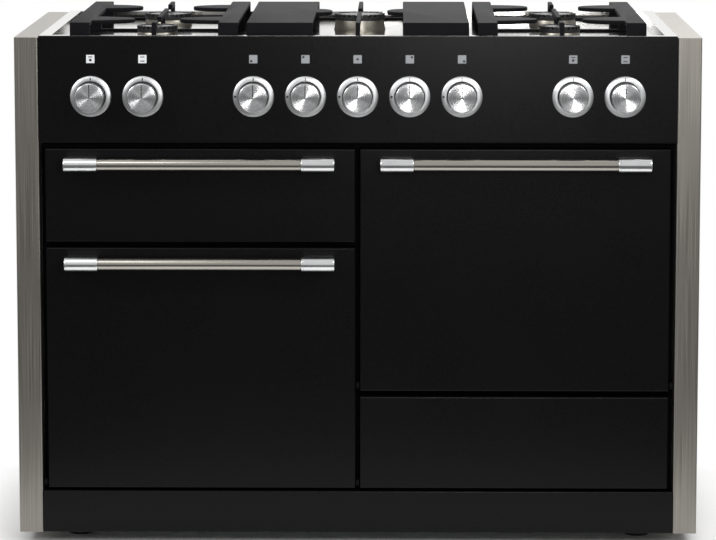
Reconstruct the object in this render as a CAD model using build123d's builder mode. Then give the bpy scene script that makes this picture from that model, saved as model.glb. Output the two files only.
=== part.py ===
from build123d import *
import os

os.makedirs("parts", exist_ok=True)

# Overall size, mm. The origin is on the floor at the middle, the front faces -Y
WIDTH = 1200.0  # over the side panels
HEIGHT = 900.0  # floor to the top of the side panels
DEPTH = 600.0  # door faces to the rear edges
REACH = 48.0  # the handles stand this far ahead of the doors
FLOOR_GAP = 20.0  # under the side panels and the plinth
SHEET = 1.5  # sheet steel
FIT = 0.5  # between fixed neighbours that only locate each other
SLIDE_FIT = 0.4  # between faces that slide past each other
RUN_FIT = 0.05  # radial, round shaft in its hole
PIN_FIT = 0.15  # radial, screw or rod in a plain hole
PAST = 1.0  # cuts run this far past a face

# Front layout
FLANGE = 42.0  # width of a side panel seen from the front
PLINTH_H = 75.0
LOW_GAP = 5.0  # plinth to the lowest fronts
GAP = 10.0  # between fronts, and at their outer sides
CENTRE_GAP = 8.0
PANEL_H = 185.0  # control panel
SHORT_H = 165.0  # grill front and drawer front
DOOR_D = 36.0
EDGE_R = 2.5  # rounded front edges
SEAL_T = 3.7
SEAL_GAP = 0.3
SEAL_IN = 4.0  # inner edge of a seal outside the oven mouth
SEAL_W = 9.0
SEAL_R = 6.0  # inner corners of a seal

# Chassis
BASE_Z = 60.0  # underside of the base tray floor
BACK_RECESS = 34.0  # back panel set in from the rear edges
FRAME_RISE = 25.0  # front frame above the lower edge of the control panel
LIP = 24.0  # return edges of the side panels

# Ovens and grill
OVEN_W = 460.0
OVEN_BACK = 84.5  # inside of an oven's rear wall to the back panel, for the fan motor
OVEN_UP = 42.0  # oven floor above the lower edge of its door
OVEN_DOWN = 38.0  # oven roof below the upper edge of its door
GRILL_H = 140.0
GRILL_SHORT = 20.0  # grill less deep than the ovens
GRILL_UP = 13.0
RACK_T = 5.0
RACK_PITCH = 26.0
RACK_RIM = 4.0
SHELF = 10.0  # pressed shelf edges inside the oven walls
SHELF_T = 3.0
SHELVES = 4
FAN_R = 70.0
FAN_OFF = 6.0  # fan disc ahead of the rear wall
COVER_W = 330.0
COVER_H = 240.0
COVER_D = 32.0
MOTOR_R = 32.0
MOTOR_L = 44.8
STRAP_W = 110.0  # mounting strap of a motor
STRAP_H = 44.0
STRAP_T = 2.0

# Hinges of the oven doors
PIVOT = 9.0  # behind the door face and above its lower edge
PIN_R = 4.0
LUG_T = 5.0
LUG_TRIM = 2.0  # lugs smaller than the door's boss
BOSS = 13.0

# Handles
HANDLE_L = 472.0
BAR_R = 11.0
SLEEVE_R = 13.0
SLEEVE_L = 58.0
HANDLE_DROP = 24.0  # axis below the top of its front
STANDOFF_IN = 3.0  # brackets inside the ends of a sleeve
STANDOFF_H = 22.0

# Hob
HOB_LIP = 3.0  # hob rim above the side panels
HOB_RIM = 22.0
HOB_SET = 3.0  # hob rim behind the face of the control panel
DECK_DROP = 10.0  # recessed steel plate below the side panels
GRATE_RISE = 24.0  # pan supports above the side panels
GRATE_T = 7.0
GRATE_FRONT = 30.0  # pan supports behind the front faces
GRATE_BACK = 50.0  # and ahead of the rear edges
GRATE_X = 357.5  # middle of a side pan support
SIDE_GRATE_W = 295.0
MID_GRATE_W = 390.0
PLATE_W = 116.0  # solid plates of the middle pan support
RAIL_W = 35.0
FINGER_T = 8.0
LENS = 44.0  # half the width of an arm where it leaves its plate
LOW_BAR = 10.0
TIE_H = 4.0  # flat ties on the deck between the feet
TIP_GAP = 4.0  # finger tips outside the burner crowns
FRONT_IN = 96.0  # front burners behind the ends of the pan supports
REAR_IN = 130.0  # rear burners ahead of the ends of the pan supports
WOK_BACK = 30.0  # wok burner behind the middle of its pan support
FRONT_CROWN = 36.0  # radii
REAR_CROWN = 43.0
WOK_CROWN = 46.0
CROWN_H = 22.0
WOK_H = 29.0
CAP_IN = 6.0  # crown radius less cap radius
CAP_H = 5.0
CAP_LOW = 1.0  # cap below the tips of the teeth
TEETH = 24
SLOT_W = 4.5  # flame slots between the teeth
SEAT_T = 3.0  # ring of a burner base on the deck
SEAT_OUT = 1.0
CUP_L = 44.0  # burner base under the deck
SOCKET = 14.0  # bore for the feed pipe
PROBE_R = 2.5
PROBE_IN = 25.0  # under the deck
PIPE_R = 5.0
PIPE_END = 2.0  # feed pipe short of the end of its bore
RUN_UP = 35.0  # feed pipes above the knob axes

# Controls
GAS_KNOBS = (-182.0, -91.0, 0.0, 91.0, 182.0)
OVEN_KNOBS = (-466.5, -375.5, 375.5, 466.5)
KNOB_UP = 82.0  # axes above the lower edge of the control panel
KNOB_R = 25.5
KNOB_L = 24.0
BEZEL_R = 36.0
BEZEL_T = 5.0
BEZEL_EDGE = 1.5
KNOB_EDGE = 1.8
POINTER_W = 1.8
POINTER_D = 1.0
PUSH = 5.0  # travel of a gas tap
KNOB_GAP = 1.0  # knob to bezel when pushed in
STEM_R = 4.0
HOLE_FIT = 2.0  # radial, stems in the control panel and the bezels
STEM_IN = 14.0  # spindle inside the knob, and inside the tap
TAP_GAP = 20.0  # control panel to the gas taps
TAP_L = 42.0
TAP_W = 26.0
RAIL_SQ = 22.0  # square gas rail
SWITCH = 40.0  # width and height of an oven switch
INLET_R = 9.3
INLET_WALL = 6.5
INLET_SHORT = 6.0  # inlet inside the rear edges

# Rear
SCREW_IN = 38.0  # outer screws inside the side panels
SCREW_R = 2.0
SCREW_L = 6.0
HEAD_R = 4.0
HEAD_T = 2.5
INLET_IN = 103.0  # gas inlet inside the side panel
CABLE_IN = 138.0  # cable entry inside the side panel
CABLE_UP = 100.0  # and above the lowest fronts
CABLE_R = 10.0
CABLE_L = 24.0
HOUSING_W = 90.0
HOUSING_H = 60.0
HOUSING_GAP = 4.0  # inside the rear edges
BRACKET_IN = 58.0  # wall bracket holes inside the side panels
BRACKET_DROP = 38.0  # and below their top
BRACKET_R = 3.0
VENTS = 14
VENT_PITCH = 60.0
VENT_W = 40.0
VENT_H = 6.0
VENT_DROP = 5.0  # upper slots below the top of the fronts
VENT_STEP = 40.0

# Feet
FOOT_IN = 58.0  # inside the side panels
FOOT_BACK = 50.0  # behind the front frame, and ahead of the back panel
FOOT_R = 22.0
FOOT_T = 10.0
FOOT_STEM_R = 6.0
FOOT_NUT_R = 10.0
FOOT_NUT_T = 8.0

# Derived levels
X_OUT = WIDTH / 2
X_IN = X_OUT - FLANGE
FRONT_Y = (REACH - DEPTH) / 2
REAR_Y = FRONT_Y + DEPTH
FRAME_Y = FRONT_Y + DOOR_D + SEAL_T + SEAL_GAP
FRAME_B = FRAME_Y + SHEET
BACK_Y = REAR_Y - BACK_RECESS
BASE_TOP = BASE_Z + SHEET
PLINTH_TOP = FLOOR_GAP + PLINTH_H
LOW_Z = PLINTH_TOP + LOW_GAP
PANEL_Z = HEIGHT - PANEL_H
FRONTS_TOP = PANEL_Z - GAP
TALL_Z = FRONTS_TOP - SHORT_H  # grill front, lower edge
HIGH_Z = LOW_Z + SHORT_H + GAP  # right door, lower edge
DOOR_H = TALL_Z - GAP - LOW_Z
OVEN_H = DOOR_H - OVEN_UP - OVEN_DOWN
SHELF_STEP = OVEN_H / (SHELVES + 1)
SHELF_LEVELS = tuple(SHELF_STEP * n - GAP for n in range(1, SHELVES + 1))
RACK_LEVELS = SHELF_LEVELS[::2]
KNOB_Z = PANEL_Z + KNOB_UP
RUN_Z = KNOB_Z + RUN_UP
DECK = HEIGHT - DECK_DROP
GRATE_TOP = HEIGHT + GRATE_RISE
FRAME_TOP = PANEL_Z + FRAME_RISE
FRONT_W = X_IN - GAP - CENTRE_GAP / 2
FRONT_X = CENTRE_GAP / 2 + FRONT_W / 2
LEFT_OVEN_Z = LOW_Z + OVEN_UP
RIGHT_OVEN_Z = HIGH_Z + OVEN_UP
GRILL_Z = TALL_Z + GRILL_UP
HOB_TOP = HEIGHT + HOB_LIP
DECK_UNDER = DECK - SHEET
GRATE_Y = FRONT_Y + GRATE_FRONT
GRATE_L = DEPTH - GRATE_FRONT - GRATE_BACK
FRONT_BURNER = GRATE_Y + FRONT_IN
REAR_BURNER = GRATE_Y + GRATE_L - REAR_IN
WOK_BURNER = GRATE_Y + GRATE_L / 2 + WOK_BACK
# Burners: x, y, crown radius, crown height
BURNERS = (
    (-GRATE_X, FRONT_BURNER, FRONT_CROWN, CROWN_H),
    (-GRATE_X, REAR_BURNER, REAR_CROWN, CROWN_H),
    (0.0, WOK_BURNER, WOK_CROWN, WOK_H),
    (GRATE_X, REAR_BURNER, REAR_CROWN, CROWN_H),
    (GRATE_X, FRONT_BURNER, FRONT_CROWN, CROWN_H),
)
HANDLE_Y = FRONT_Y - REACH + SLEEVE_R
BEZEL_Y = FRONT_Y - BEZEL_T
KNOB_BACK = BEZEL_Y - PUSH - KNOB_GAP
TAP_Y = FRONT_Y + TAP_GAP
RAIL_Y = TAP_Y + TAP_L
LINER_B = BACK_Y - OVEN_BACK
OVEN_D = LINER_B - FRAME_B
GRILL_D = OVEN_D - GRILL_SHORT


def block(x, y, z, mode=Mode.ADD):
    """A plain block between the two ends given on each axis."""
    x0, x1 = min(x), max(x)
    y0, y1 = min(y), max(y)
    z0, z1 = min(z), max(z)
    with Locations(((x0 + x1) / 2, (y0 + y1) / 2, (z0 + z1) / 2)):
        Box(x1 - x0, y1 - y0, z1 - z0, mode=mode)


def rod_x(x, y, z, radius, mode=Mode.ADD):
    """A round bar along X."""
    with Locations(((x[0] + x[1]) / 2, y, z)):
        Cylinder(radius, abs(x[1] - x[0]), rotation=(0, 90, 0), mode=mode)


def rod_y(x, y, z, radius, mode=Mode.ADD):
    """A round bar along Y."""
    with Locations((x, (y[0] + y[1]) / 2, z)):
        Cylinder(radius, abs(y[1] - y[0]), rotation=(90, 0, 0), mode=mode)


def rod_z(x, y, z, radius, mode=Mode.ADD):
    """A round bar along Z."""
    with Locations((x, y, (z[0] + z[1]) / 2)):
        Cylinder(radius, abs(z[1] - z[0]), mode=mode)


def tube(points, radius, bend):
    """A bent round rod through the points, inside an open part block."""
    with BuildLine() as path:
        FilletPolyline(*points, radius=bend)
    with BuildSketch(Plane(origin=path.line @ 0, z_dir=path.line % 0)) as profile:
        Circle(radius)
    sweep(sections=profile.sketch, path=path.line)


def save(part, name):
    """Labels a finished piece and writes its file."""
    part.label = name
    export_step(part, f"parts/{name}.step")


# Side panels: folded steel boxes, open to the inside behind their edges
def side_panel(side):
    outer = side * X_OUT
    inner = side * X_IN
    with BuildPart() as panel:
        block((inner, outer), (FRONT_Y, REAR_Y), (FLOOR_GAP, HEIGHT))
        fillet(panel.edges().filter_by(Axis.Z).group_by(Axis.Y)[0], EDGE_R)
        block(
            (inner + side * SHEET, outer - side * SHEET),
            (FRONT_Y + SHEET, REAR_Y - SHEET),
            (FLOOR_GAP + SHEET, HEIGHT - SHEET),
            Mode.SUBTRACT,
        )
        block(
            (inner - side * PAST, inner + side * 2 * SHEET),
            (FRAME_Y - FIT, REAR_Y - LIP),
            (FLOOR_GAP + LIP, HEIGHT - LIP),
            Mode.SUBTRACT,
        )
    return panel.part


# Chassis: base tray, front frame, back panel, plinth
def base_tray():
    x = X_OUT - SHEET - FIT
    x_flange = X_IN - FIT
    with BuildPart() as tray:
        block((-x, x), (FRAME_Y, BACK_Y + SHEET), (BASE_Z, BASE_TOP))
        for y in (FRAME_Y, BACK_Y):
            block((-x_flange, x_flange), (y, y + SHEET), (BASE_Z - LOW_BAR, BASE_Z))
    return tray.part


def front_frame():
    x = X_IN - FIT
    with BuildPart() as frame:
        block((-x, x), (FRAME_Y, FRAME_B), (BASE_TOP, FRAME_TOP))
        for cx, z, width, height in (
            (-FRONT_X, LEFT_OVEN_Z, OVEN_W, OVEN_H),
            (FRONT_X, RIGHT_OVEN_Z, OVEN_W, OVEN_H),
            (-FRONT_X, GRILL_Z, OVEN_W, GRILL_H),
            (FRONT_X, LOW_Z + GAP, FRONT_W - 4 * GAP, SHORT_H - 2 * GAP),
        ):
            block(
                (cx - width / 2, cx + width / 2),
                (FRAME_Y - PAST, FRAME_B + PAST),
                (z, z + height),
                Mode.SUBTRACT,
            )
    return frame.part


SCREW_X = X_IN - SCREW_IN
SCREW_ROWS = (LOW_Z + GAP, TALL_Z + 2 * GAP, HEIGHT - 7 * GAP)
SCREWS = [(x, z) for x in (-SCREW_X, -SCREW_X / 2, SCREW_X / 2, SCREW_X) for z in SCREW_ROWS]
INLET = (X_IN - INLET_IN, KNOB_Z)
CABLE = (CABLE_IN - X_IN, LOW_Z + CABLE_UP)
BRACKET_X = X_IN - BRACKET_IN
VENT_TOP = FRONTS_TOP - VENT_DROP


def back_panel():
    x = X_IN - FIT
    with BuildPart() as panel:
        block((-x, x), (BACK_Y, BACK_Y + SHEET), (BASE_TOP, DECK_UNDER))
        bore = (BACK_Y - PAST, BACK_Y + SHEET + PAST)
        for sx, sz in SCREWS:
            rod_y(sx, bore, sz, SCREW_R + PIN_FIT, Mode.SUBTRACT)
        for side in (-1, 1):
            rod_y(side * BRACKET_X, bore, HEIGHT - BRACKET_DROP, BRACKET_R, Mode.SUBTRACT)
        rod_y(INLET[0], bore, INLET[1], PIPE_R + FIT, Mode.SUBTRACT)
        for z in (VENT_TOP, VENT_TOP - VENT_STEP):
            with Locations((0, BACK_Y, z)):
                with GridLocations(VENT_PITCH, 0, VENTS, 1):
                    Box(VENT_W, 4 * SHEET, VENT_H, mode=Mode.SUBTRACT)
    return panel.part


def cable_housing():
    cx, cz = CABLE
    half = HOUSING_W / 2
    y = (BACK_Y + SHEET, REAR_Y - HOUSING_GAP)
    with BuildPart() as housing:
        block((cx - half, cx + half), y, (cz, cz + HOUSING_H))
        rod_z(cx, (BACK_Y + REAR_Y) / 2, (cz - PAST, cz + CABLE_L), CABLE_R, Mode.SUBTRACT)
    return housing.part


def plinth():
    x = X_IN - FIT
    with BuildPart() as cover:
        block((-x, x), (FRONT_Y, FRAME_Y), (FLOOR_GAP, PLINTH_TOP))
        fillet(cover.edges().filter_by(Axis.X).group_by(Axis.Y)[0], EDGE_R)
        block(
            (-x + SHEET, x - SHEET),
            (FRONT_Y + SHEET, FRAME_Y + PAST),
            (FLOOR_GAP - PAST, PLINTH_TOP - SHEET),
            Mode.SUBTRACT,
        )
    return cover.part


# Control panel: folded sheet with knob holes, an edge ahead of the hob rim and end plates for the rail
def control_panel():
    x = X_IN - FIT
    deep = RAIL_Y + RAIL_SQ
    with BuildPart() as panel:
        block((-x, x), (FRONT_Y, FRAME_Y), (PANEL_Z, HOB_TOP))
        fillet(panel.edges().filter_by(Axis.X).group_by(Axis.Y)[0], EDGE_R)
        block(
            (-x + SHEET, x - SHEET),
            (FRONT_Y + SHEET, FRAME_Y + PAST),
            (PANEL_Z + SHEET, HEIGHT - SHEET),
            Mode.SUBTRACT,
        )
        block(
            (-x - PAST, x + PAST),
            (FRONT_Y + HOB_SET, FRAME_Y + PAST),
            (HEIGHT, HOB_TOP + PAST),
            Mode.SUBTRACT,
        )
        block(
            (-x - PAST, x + PAST),
            (FRONT_Y + HOB_RIM - 2 * SHEET, FRAME_Y + PAST),
            (DECK_UNDER - LOW_BAR, HEIGHT + PAST),
            Mode.SUBTRACT,
        )
        for side in (-1, 1):
            block(
                (side * (x - SHEET), side * x),
                (FRAME_Y, deep),
                (FRAME_TOP + FIT, DECK_UNDER - LOW_BAR),
            )
        for kx in GAS_KNOBS + OVEN_KNOBS:
            bore = (FRONT_Y - PAST, FRONT_Y + SHEET + PAST)
            rod_y(kx, bore, KNOB_Z, STEM_R + HOLE_FIT, Mode.SUBTRACT)
    return panel.part


# Hob plate: steel tray with a folded rim, holes for burners and probes
def cup_radius(crown):
    """Radius of a burner base under the deck."""
    return 0.6 * crown


def probe_points(burner):
    """Two places behind a crown, half way between its rear and its sides."""
    bx, by, crown, _ = burner
    reach = (crown + 3 * PROBE_R) / 2**0.5
    return ((bx - reach, by + reach), (bx + reach, by + reach))


def hob_plate():
    x = X_IN - FIT
    pocket_x = x - HOB_RIM
    pocket_y = (FRONT_Y + HOB_RIM, REAR_Y - HOB_RIM)
    front = FRONT_Y + HOB_SET + FIT
    with BuildPart() as hob:
        block((-x, x), (front, REAR_Y), (HEIGHT, HOB_TOP))
        fillet(hob.faces().sort_by(Axis.Z)[-1].edges(), 2 * SHEET / 3)
        block(
            (-x + SHEET, x - SHEET),
            (front + SHEET, REAR_Y - SHEET),
            (HEIGHT - PAST, HOB_TOP - SHEET),
            Mode.SUBTRACT,
        )
        block(
            (-pocket_x - SHEET, pocket_x + SHEET),
            (pocket_y[0] - SHEET, pocket_y[1] + SHEET),
            (DECK_UNDER, HOB_TOP - SHEET / 2),
        )
        block((-pocket_x, pocket_x), pocket_y, (DECK, HOB_TOP + PAST), Mode.SUBTRACT)
        bore = (DECK_UNDER - PAST, DECK + PAST)
        for burner in BURNERS:
            bx, by, crown, _ = burner
            rod_z(bx, by, bore, cup_radius(crown) + FIT, Mode.SUBTRACT)
            for px, py in probe_points(burner):
                rod_z(px, py, bore, PROBE_R + PIN_FIT, Mode.SUBTRACT)
    return hob.part


# Liners: open boxes that hang on the front frame by a flange
def liner(cx, z0, height, depth, shelves):
    x = (cx - OVEN_W / 2, cx + OVEN_W / 2)
    rear = FRAME_B + depth
    with BuildPart() as box:
        block(
            (x[0] - SHEET, x[1] + SHEET),
            (FRAME_B, rear + SHEET),
            (z0 - SHEET, z0 + height + SHEET),
        )
        block(
            (x[0] - GAP, x[1] + GAP),
            (FRAME_B, FRAME_B + SHEET),
            (z0 - GAP, z0 + height + GAP),
        )
        block(x, (FRAME_B - PAST, rear), (z0, z0 + height), Mode.SUBTRACT)
        for level in shelves:
            z = (z0 + level - SHELF_T, z0 + level)
            y = (FRAME_B + 2 * GAP, rear - COVER_D - GAP)
            block((x[0], x[0] + SHELF), y, z)
            block((x[1] - SHELF, x[1]), y, z)
    return box


def oven_liners():
    with BuildPart() as ovens:
        for cx, z0 in ((-FRONT_X, LEFT_OVEN_Z), (FRONT_X, RIGHT_OVEN_Z)):
            add(liner(cx, z0, OVEN_H, OVEN_D, SHELF_LEVELS).part)
            bore = (LINER_B - PAST, LINER_B + SHEET + PAST)
            rod_y(cx, bore, z0 + OVEN_H / 2, STEM_R + HOLE_FIT, Mode.SUBTRACT)
    return ovens.part


ELEMENT_X = 165.0
ELEMENT_DROP = 28.0  # below the grill's roof
ELEMENT_RUN = 260.0  # length of its middle loops
ELEMENT_BEND = 24.0
ELEMENT_R = 4.0
ELEMENT_Z = GRILL_Z + GRILL_H - ELEMENT_DROP


def grill_liner():
    box = liner(-FRONT_X, GRILL_Z, GRILL_H, GRILL_D, ())
    rear = FRAME_B + GRILL_D
    with BuildPart() as grill:
        add(box.part)
        for x in (-FRONT_X - ELEMENT_X, -FRONT_X + ELEMENT_X):
            bore = (rear - PAST, rear + SHEET + PAST)
            rod_y(x, bore, ELEMENT_Z, ELEMENT_R + PIN_FIT, Mode.SUBTRACT)
    return grill.part


def grill_element():
    rear = FRAME_B + GRILL_D + 3 * GAP
    near = FRAME_B + 4 * GAP
    far = near + ELEMENT_RUN
    inner = ELEMENT_X / 3
    steps = (
        (-ELEMENT_X, rear),
        (-ELEMENT_X, near),
        (-inner, near),
        (-inner, far),
        (inner, far),
        (inner, near),
        (ELEMENT_X, near),
        (ELEMENT_X, rear),
    )
    with BuildPart() as element:
        tube([(x - FRONT_X, y, ELEMENT_Z) for x, y in steps], ELEMENT_R, ELEMENT_BEND)
    return element.part


# Racks: flat grids on the pressed shelf edges
def oven_racks():
    length = OVEN_D - COVER_D - 4 * GAP
    width = OVEN_W - 2 * SHELF_T
    bars = int(width / RACK_PITCH)
    with BuildPart() as racks:
        for cx, z0 in ((-FRONT_X, LEFT_OVEN_Z), (FRONT_X, RIGHT_OVEN_Z)):
            for level in RACK_LEVELS:
                origin = (cx, FRAME_B + 2 * GAP + length / 2, z0 + level)
                with BuildSketch(Plane(origin=origin)):
                    Rectangle(width, length)
                    for y in (-length / 4, length / 4):
                        with Locations((0, y)):
                            with GridLocations(RACK_PITCH, 0, bars, 1):
                                gap = (RACK_PITCH - RACK_T, length / 2 - 2 * RACK_RIM)
                                Rectangle(*gap, mode=Mode.SUBTRACT)
                extrude(amount=RACK_T)
    return racks.part


# Fan ovens: pressed cover, fan on its shaft, motor behind the liner
def fan_covers():
    with BuildPart() as covers:
        for cx, z0 in ((-FRONT_X, LEFT_OVEN_Z), (FRONT_X, RIGHT_OVEN_Z)):
            z = z0 + OVEN_H / 2
            front = LINER_B - COVER_D
            half, rise = COVER_W / 2, COVER_H / 2
            block((cx - half, cx + half), (front, LINER_B), (z - rise, z + rise))
            block(
                (cx - half + SHEET, cx + half - SHEET),
                (front + SHEET, LINER_B + PAST),
                (z - rise + SHEET, z + rise - SHEET),
                Mode.SUBTRACT,
            )
            with BuildSketch(Plane(origin=(cx, front - PAST, z), z_dir=(0, 1, 0))):
                with PolarLocations(FAN_R * 0.55, 16):
                    SlotOverall(FAN_R * 0.6, 4 * SHEET)
            extrude(amount=SHEET + 1.5 * PAST, mode=Mode.SUBTRACT)
    return covers.part


def oven_fan(cx, z0):
    z = z0 + OVEN_H / 2
    disc = LINER_B - FAN_OFF
    with BuildPart() as fan:
        rod_y(cx, (disc - SHEET, disc), z, FAN_R)
        rod_y(cx, (disc - COVER_D / 2, disc), z, 3 * STEM_R)
        rod_y(cx, (disc, LINER_B + COVER_D), z, STEM_R)
        with BuildSketch(Plane(origin=(cx, disc - SHEET, z), z_dir=(0, -1, 0))):
            with PolarLocations(FAN_R * 0.72, 12):
                Rectangle(FAN_R * 0.5, SHEET)
        extrude(amount=COVER_D / 2)
    return fan.part


def fan_motors():
    with BuildPart() as motors:
        for cx, z0 in ((-FRONT_X, LEFT_OVEN_Z), (FRONT_X, RIGHT_OVEN_Z)):
            z = z0 + OVEN_H / 2
            back = LINER_B + SHEET
            half, rise = STRAP_W / 2, STRAP_H / 2
            block((cx - half, cx + half), (back, back + STRAP_T), (z - rise, z + rise))
            rod_y(cx, (back + STRAP_T, back + STRAP_T + MOTOR_L), z, MOTOR_R)
            bore = (back - PAST, LINER_B + COVER_D + 2 * PAST)
            rod_y(cx, bore, z, STEM_R + RUN_FIT, Mode.SUBTRACT)
    return motors.part


def oven_seals():
    with BuildPart() as seals:
        for cx, z0 in ((-FRONT_X, LEFT_OVEN_Z), (FRONT_X, RIGHT_OVEN_Z)):
            origin = (cx, FRAME_Y, z0 + OVEN_H / 2)
            with BuildSketch(Plane(origin=origin, x_dir=(1, 0, 0), z_dir=(0, -1, 0))):
                outer = 2 * (SEAL_IN + SEAL_W)
                inner = 2 * SEAL_IN
                RectangleRounded(OVEN_W + outer, OVEN_H + outer, SEAL_R + SEAL_W)
                RectangleRounded(OVEN_W + inner, OVEN_H + inner, SEAL_R, mode=Mode.SUBTRACT)
            extrude(amount=SEAL_T)
    return seals.part


# Burners: base under the plate, toothed crown, cap let into the crown
def burner_bases():
    with BuildPart() as bases:
        for bx, by, crown, _ in BURNERS:
            rod_z(bx, by, (DECK - CUP_L, DECK), cup_radius(crown))
            rod_z(bx, by, (DECK, DECK + SEAT_T), crown + SEAT_OUT)
            bore = (DECK - CUP_L - PAST, DECK - CUP_L + SOCKET)
            rod_z(bx, by, bore, PIPE_R + PIN_FIT, Mode.SUBTRACT)
    return bases.part


def burner_heads():
    with BuildPart() as heads:
        for bx, by, crown, height in BURNERS:
            top = DECK + height
            rod_z(bx, by, (DECK + SEAT_T, top), crown)
            seat = crown - CAP_IN + FIT
            rod_z(bx, by, (top - CAP_H, top + PAST), seat, Mode.SUBTRACT)
            origin = (bx, by, top - CAP_H)
            with BuildSketch(Plane(origin=origin)):
                with PolarLocations(crown, TEETH):
                    Rectangle(2 * (CAP_IN + PAST), SLOT_W)
            extrude(amount=CAP_H + PAST, mode=Mode.SUBTRACT)
    return heads.part


def burner_caps():
    with BuildPart() as caps:
        for bx, by, crown, height in BURNERS:
            top = DECK + height
            rod_z(bx, by, (top - CAP_H, top - CAP_LOW), crown - CAP_IN)
    return caps.part


def ignition_probes():
    with BuildPart() as probes:
        for burner in BURNERS:
            for px, py in probe_points(burner):
                rod_z(px, py, (DECK - PROBE_IN, DECK + burner[3] - CAP_H), PROBE_R)
    return probes.part


# Gas: square rail, inlet at the rear, taps in front of the rail, feed pipes to the burners
def gas_pipework():
    rail_x = X_IN - FIT - SHEET - FIT
    rail_z = (KNOB_Z - RAIL_SQ / 2, KNOB_Z + RAIL_SQ / 2)
    with BuildPart() as pipes:
        block((-rail_x, rail_x), (RAIL_Y, RAIL_Y + RAIL_SQ), rail_z)
        ix, iz = INLET
        rod_y(ix, (RAIL_Y + RAIL_SQ, BACK_Y + 2 * SHEET), iz, PIPE_R)
        rod_y(ix, (BACK_Y + SHEET, REAR_Y - INLET_SHORT), iz, INLET_R + INLET_WALL)
        rod_y(ix, (BACK_Y + 4 * SHEET, REAR_Y), iz, INLET_R, Mode.SUBTRACT)
        tap_y = TAP_Y + TAP_L / 2
        tap_top = KNOB_Z + TAP_W / 2
        for kx, burner in zip(GAS_KNOBS, BURNERS):
            bx, by = burner[:2]
            end = (bx, by, DECK - CUP_L + SOCKET - PIPE_END)
            steps = [(kx, tap_y, tap_top), (kx, tap_y, RUN_Z), (bx, by, RUN_Z), end]
            tube(steps, PIPE_R, 2 * PIPE_R)
    return pipes.part


def gas_taps():
    with BuildPart() as taps:
        for kx in GAS_KNOBS:
            z = (KNOB_Z - TAP_W / 2, KNOB_Z + TAP_W / 2)
            block((kx - TAP_W / 2, kx + TAP_W / 2), (TAP_Y, RAIL_Y), z)
            bore = (TAP_Y - PAST, TAP_Y + STEM_IN + PUSH + PAST)
            rod_y(kx, bore, KNOB_Z, STEM_R + RUN_FIT, Mode.SUBTRACT)
    return taps.part


def tap_spindle(kx):
    with BuildPart() as spindle:
        rod_y(kx, (KNOB_BACK - STEM_IN, TAP_Y + STEM_IN), KNOB_Z, STEM_R)
    return spindle.part


def oven_switches():
    with BuildPart() as switches:
        for kx in OVEN_KNOBS:
            back = FRONT_Y + SHEET
            half = SWITCH / 2
            z = (KNOB_Z - half, KNOB_Z + half)
            block((kx - half, kx + half), (back, TAP_Y + TAP_W), z)
            bore = (back - PAST, TAP_Y + STEM_IN + PAST)
            rod_y(kx, bore, KNOB_Z, STEM_R + RUN_FIT, Mode.SUBTRACT)
    return switches.part


def knob_bezels():
    with BuildPart() as bezels:
        for kx in GAS_KNOBS + OVEN_KNOBS:
            rod_y(kx, (BEZEL_Y, FRONT_Y), KNOB_Z, BEZEL_R)
        rims = bezels.edges().filter_by(GeomType.CIRCLE).group_by(Axis.Y)[0]
        chamfer(rims, BEZEL_EDGE)
        for kx in GAS_KNOBS + OVEN_KNOBS:
            bore = (BEZEL_Y - PAST, FRONT_Y + PAST)
            rod_y(kx, bore, KNOB_Z, STEM_R + HOLE_FIT, Mode.SUBTRACT)
    return bezels.part


# Knobs: spun caps with a pointer groove, bored for a tap spindle or with a stem of their own
def knob(kx, gas):
    face = KNOB_BACK - KNOB_L
    with BuildPart() as cap:
        rod_y(kx, (face, KNOB_BACK), KNOB_Z, KNOB_R)
        rims = cap.edges().filter_by(GeomType.CIRCLE).group_by(Axis.Y)
        chamfer(rims[0], KNOB_EDGE)
        x = (kx - POINTER_W / 2, kx + POINTER_W / 2)
        z = (KNOB_Z, KNOB_Z + KNOB_R + PAST)
        block(x, (face - PAST, face + POINTER_D), z, Mode.SUBTRACT)
        if gas:
            bore = (KNOB_BACK - STEM_IN - PAST, KNOB_BACK + PAST)
            rod_y(kx, bore, KNOB_Z, STEM_R + RUN_FIT, Mode.SUBTRACT)
        else:
            rod_y(kx, (KNOB_BACK, TAP_Y + STEM_IN), KNOB_Z, STEM_R)
    return cap.part


# Pan supports: flat iron plates on legs, lens-shaped arms, thin fingers on flat ties
def foot_bar(x, y):
    block(x, (y - LOW_BAR / 2, y + LOW_BAR / 2), (DECK, DECK + TIE_H))


def finger(cx, y0, y1):
    """A thin finger whose foot stands at y0 and whose tip is at y1."""
    step = LOW_BAR / 2 if y1 > y0 else -LOW_BAR / 2
    x = (cx - FINGER_T / 2, cx + FINGER_T / 2)
    block(x, (y0 - step, y0 + step), (DECK, GRATE_TOP))
    block(x, (y0, y1), (GRATE_TOP - LOW_BAR, GRATE_TOP))


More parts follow.
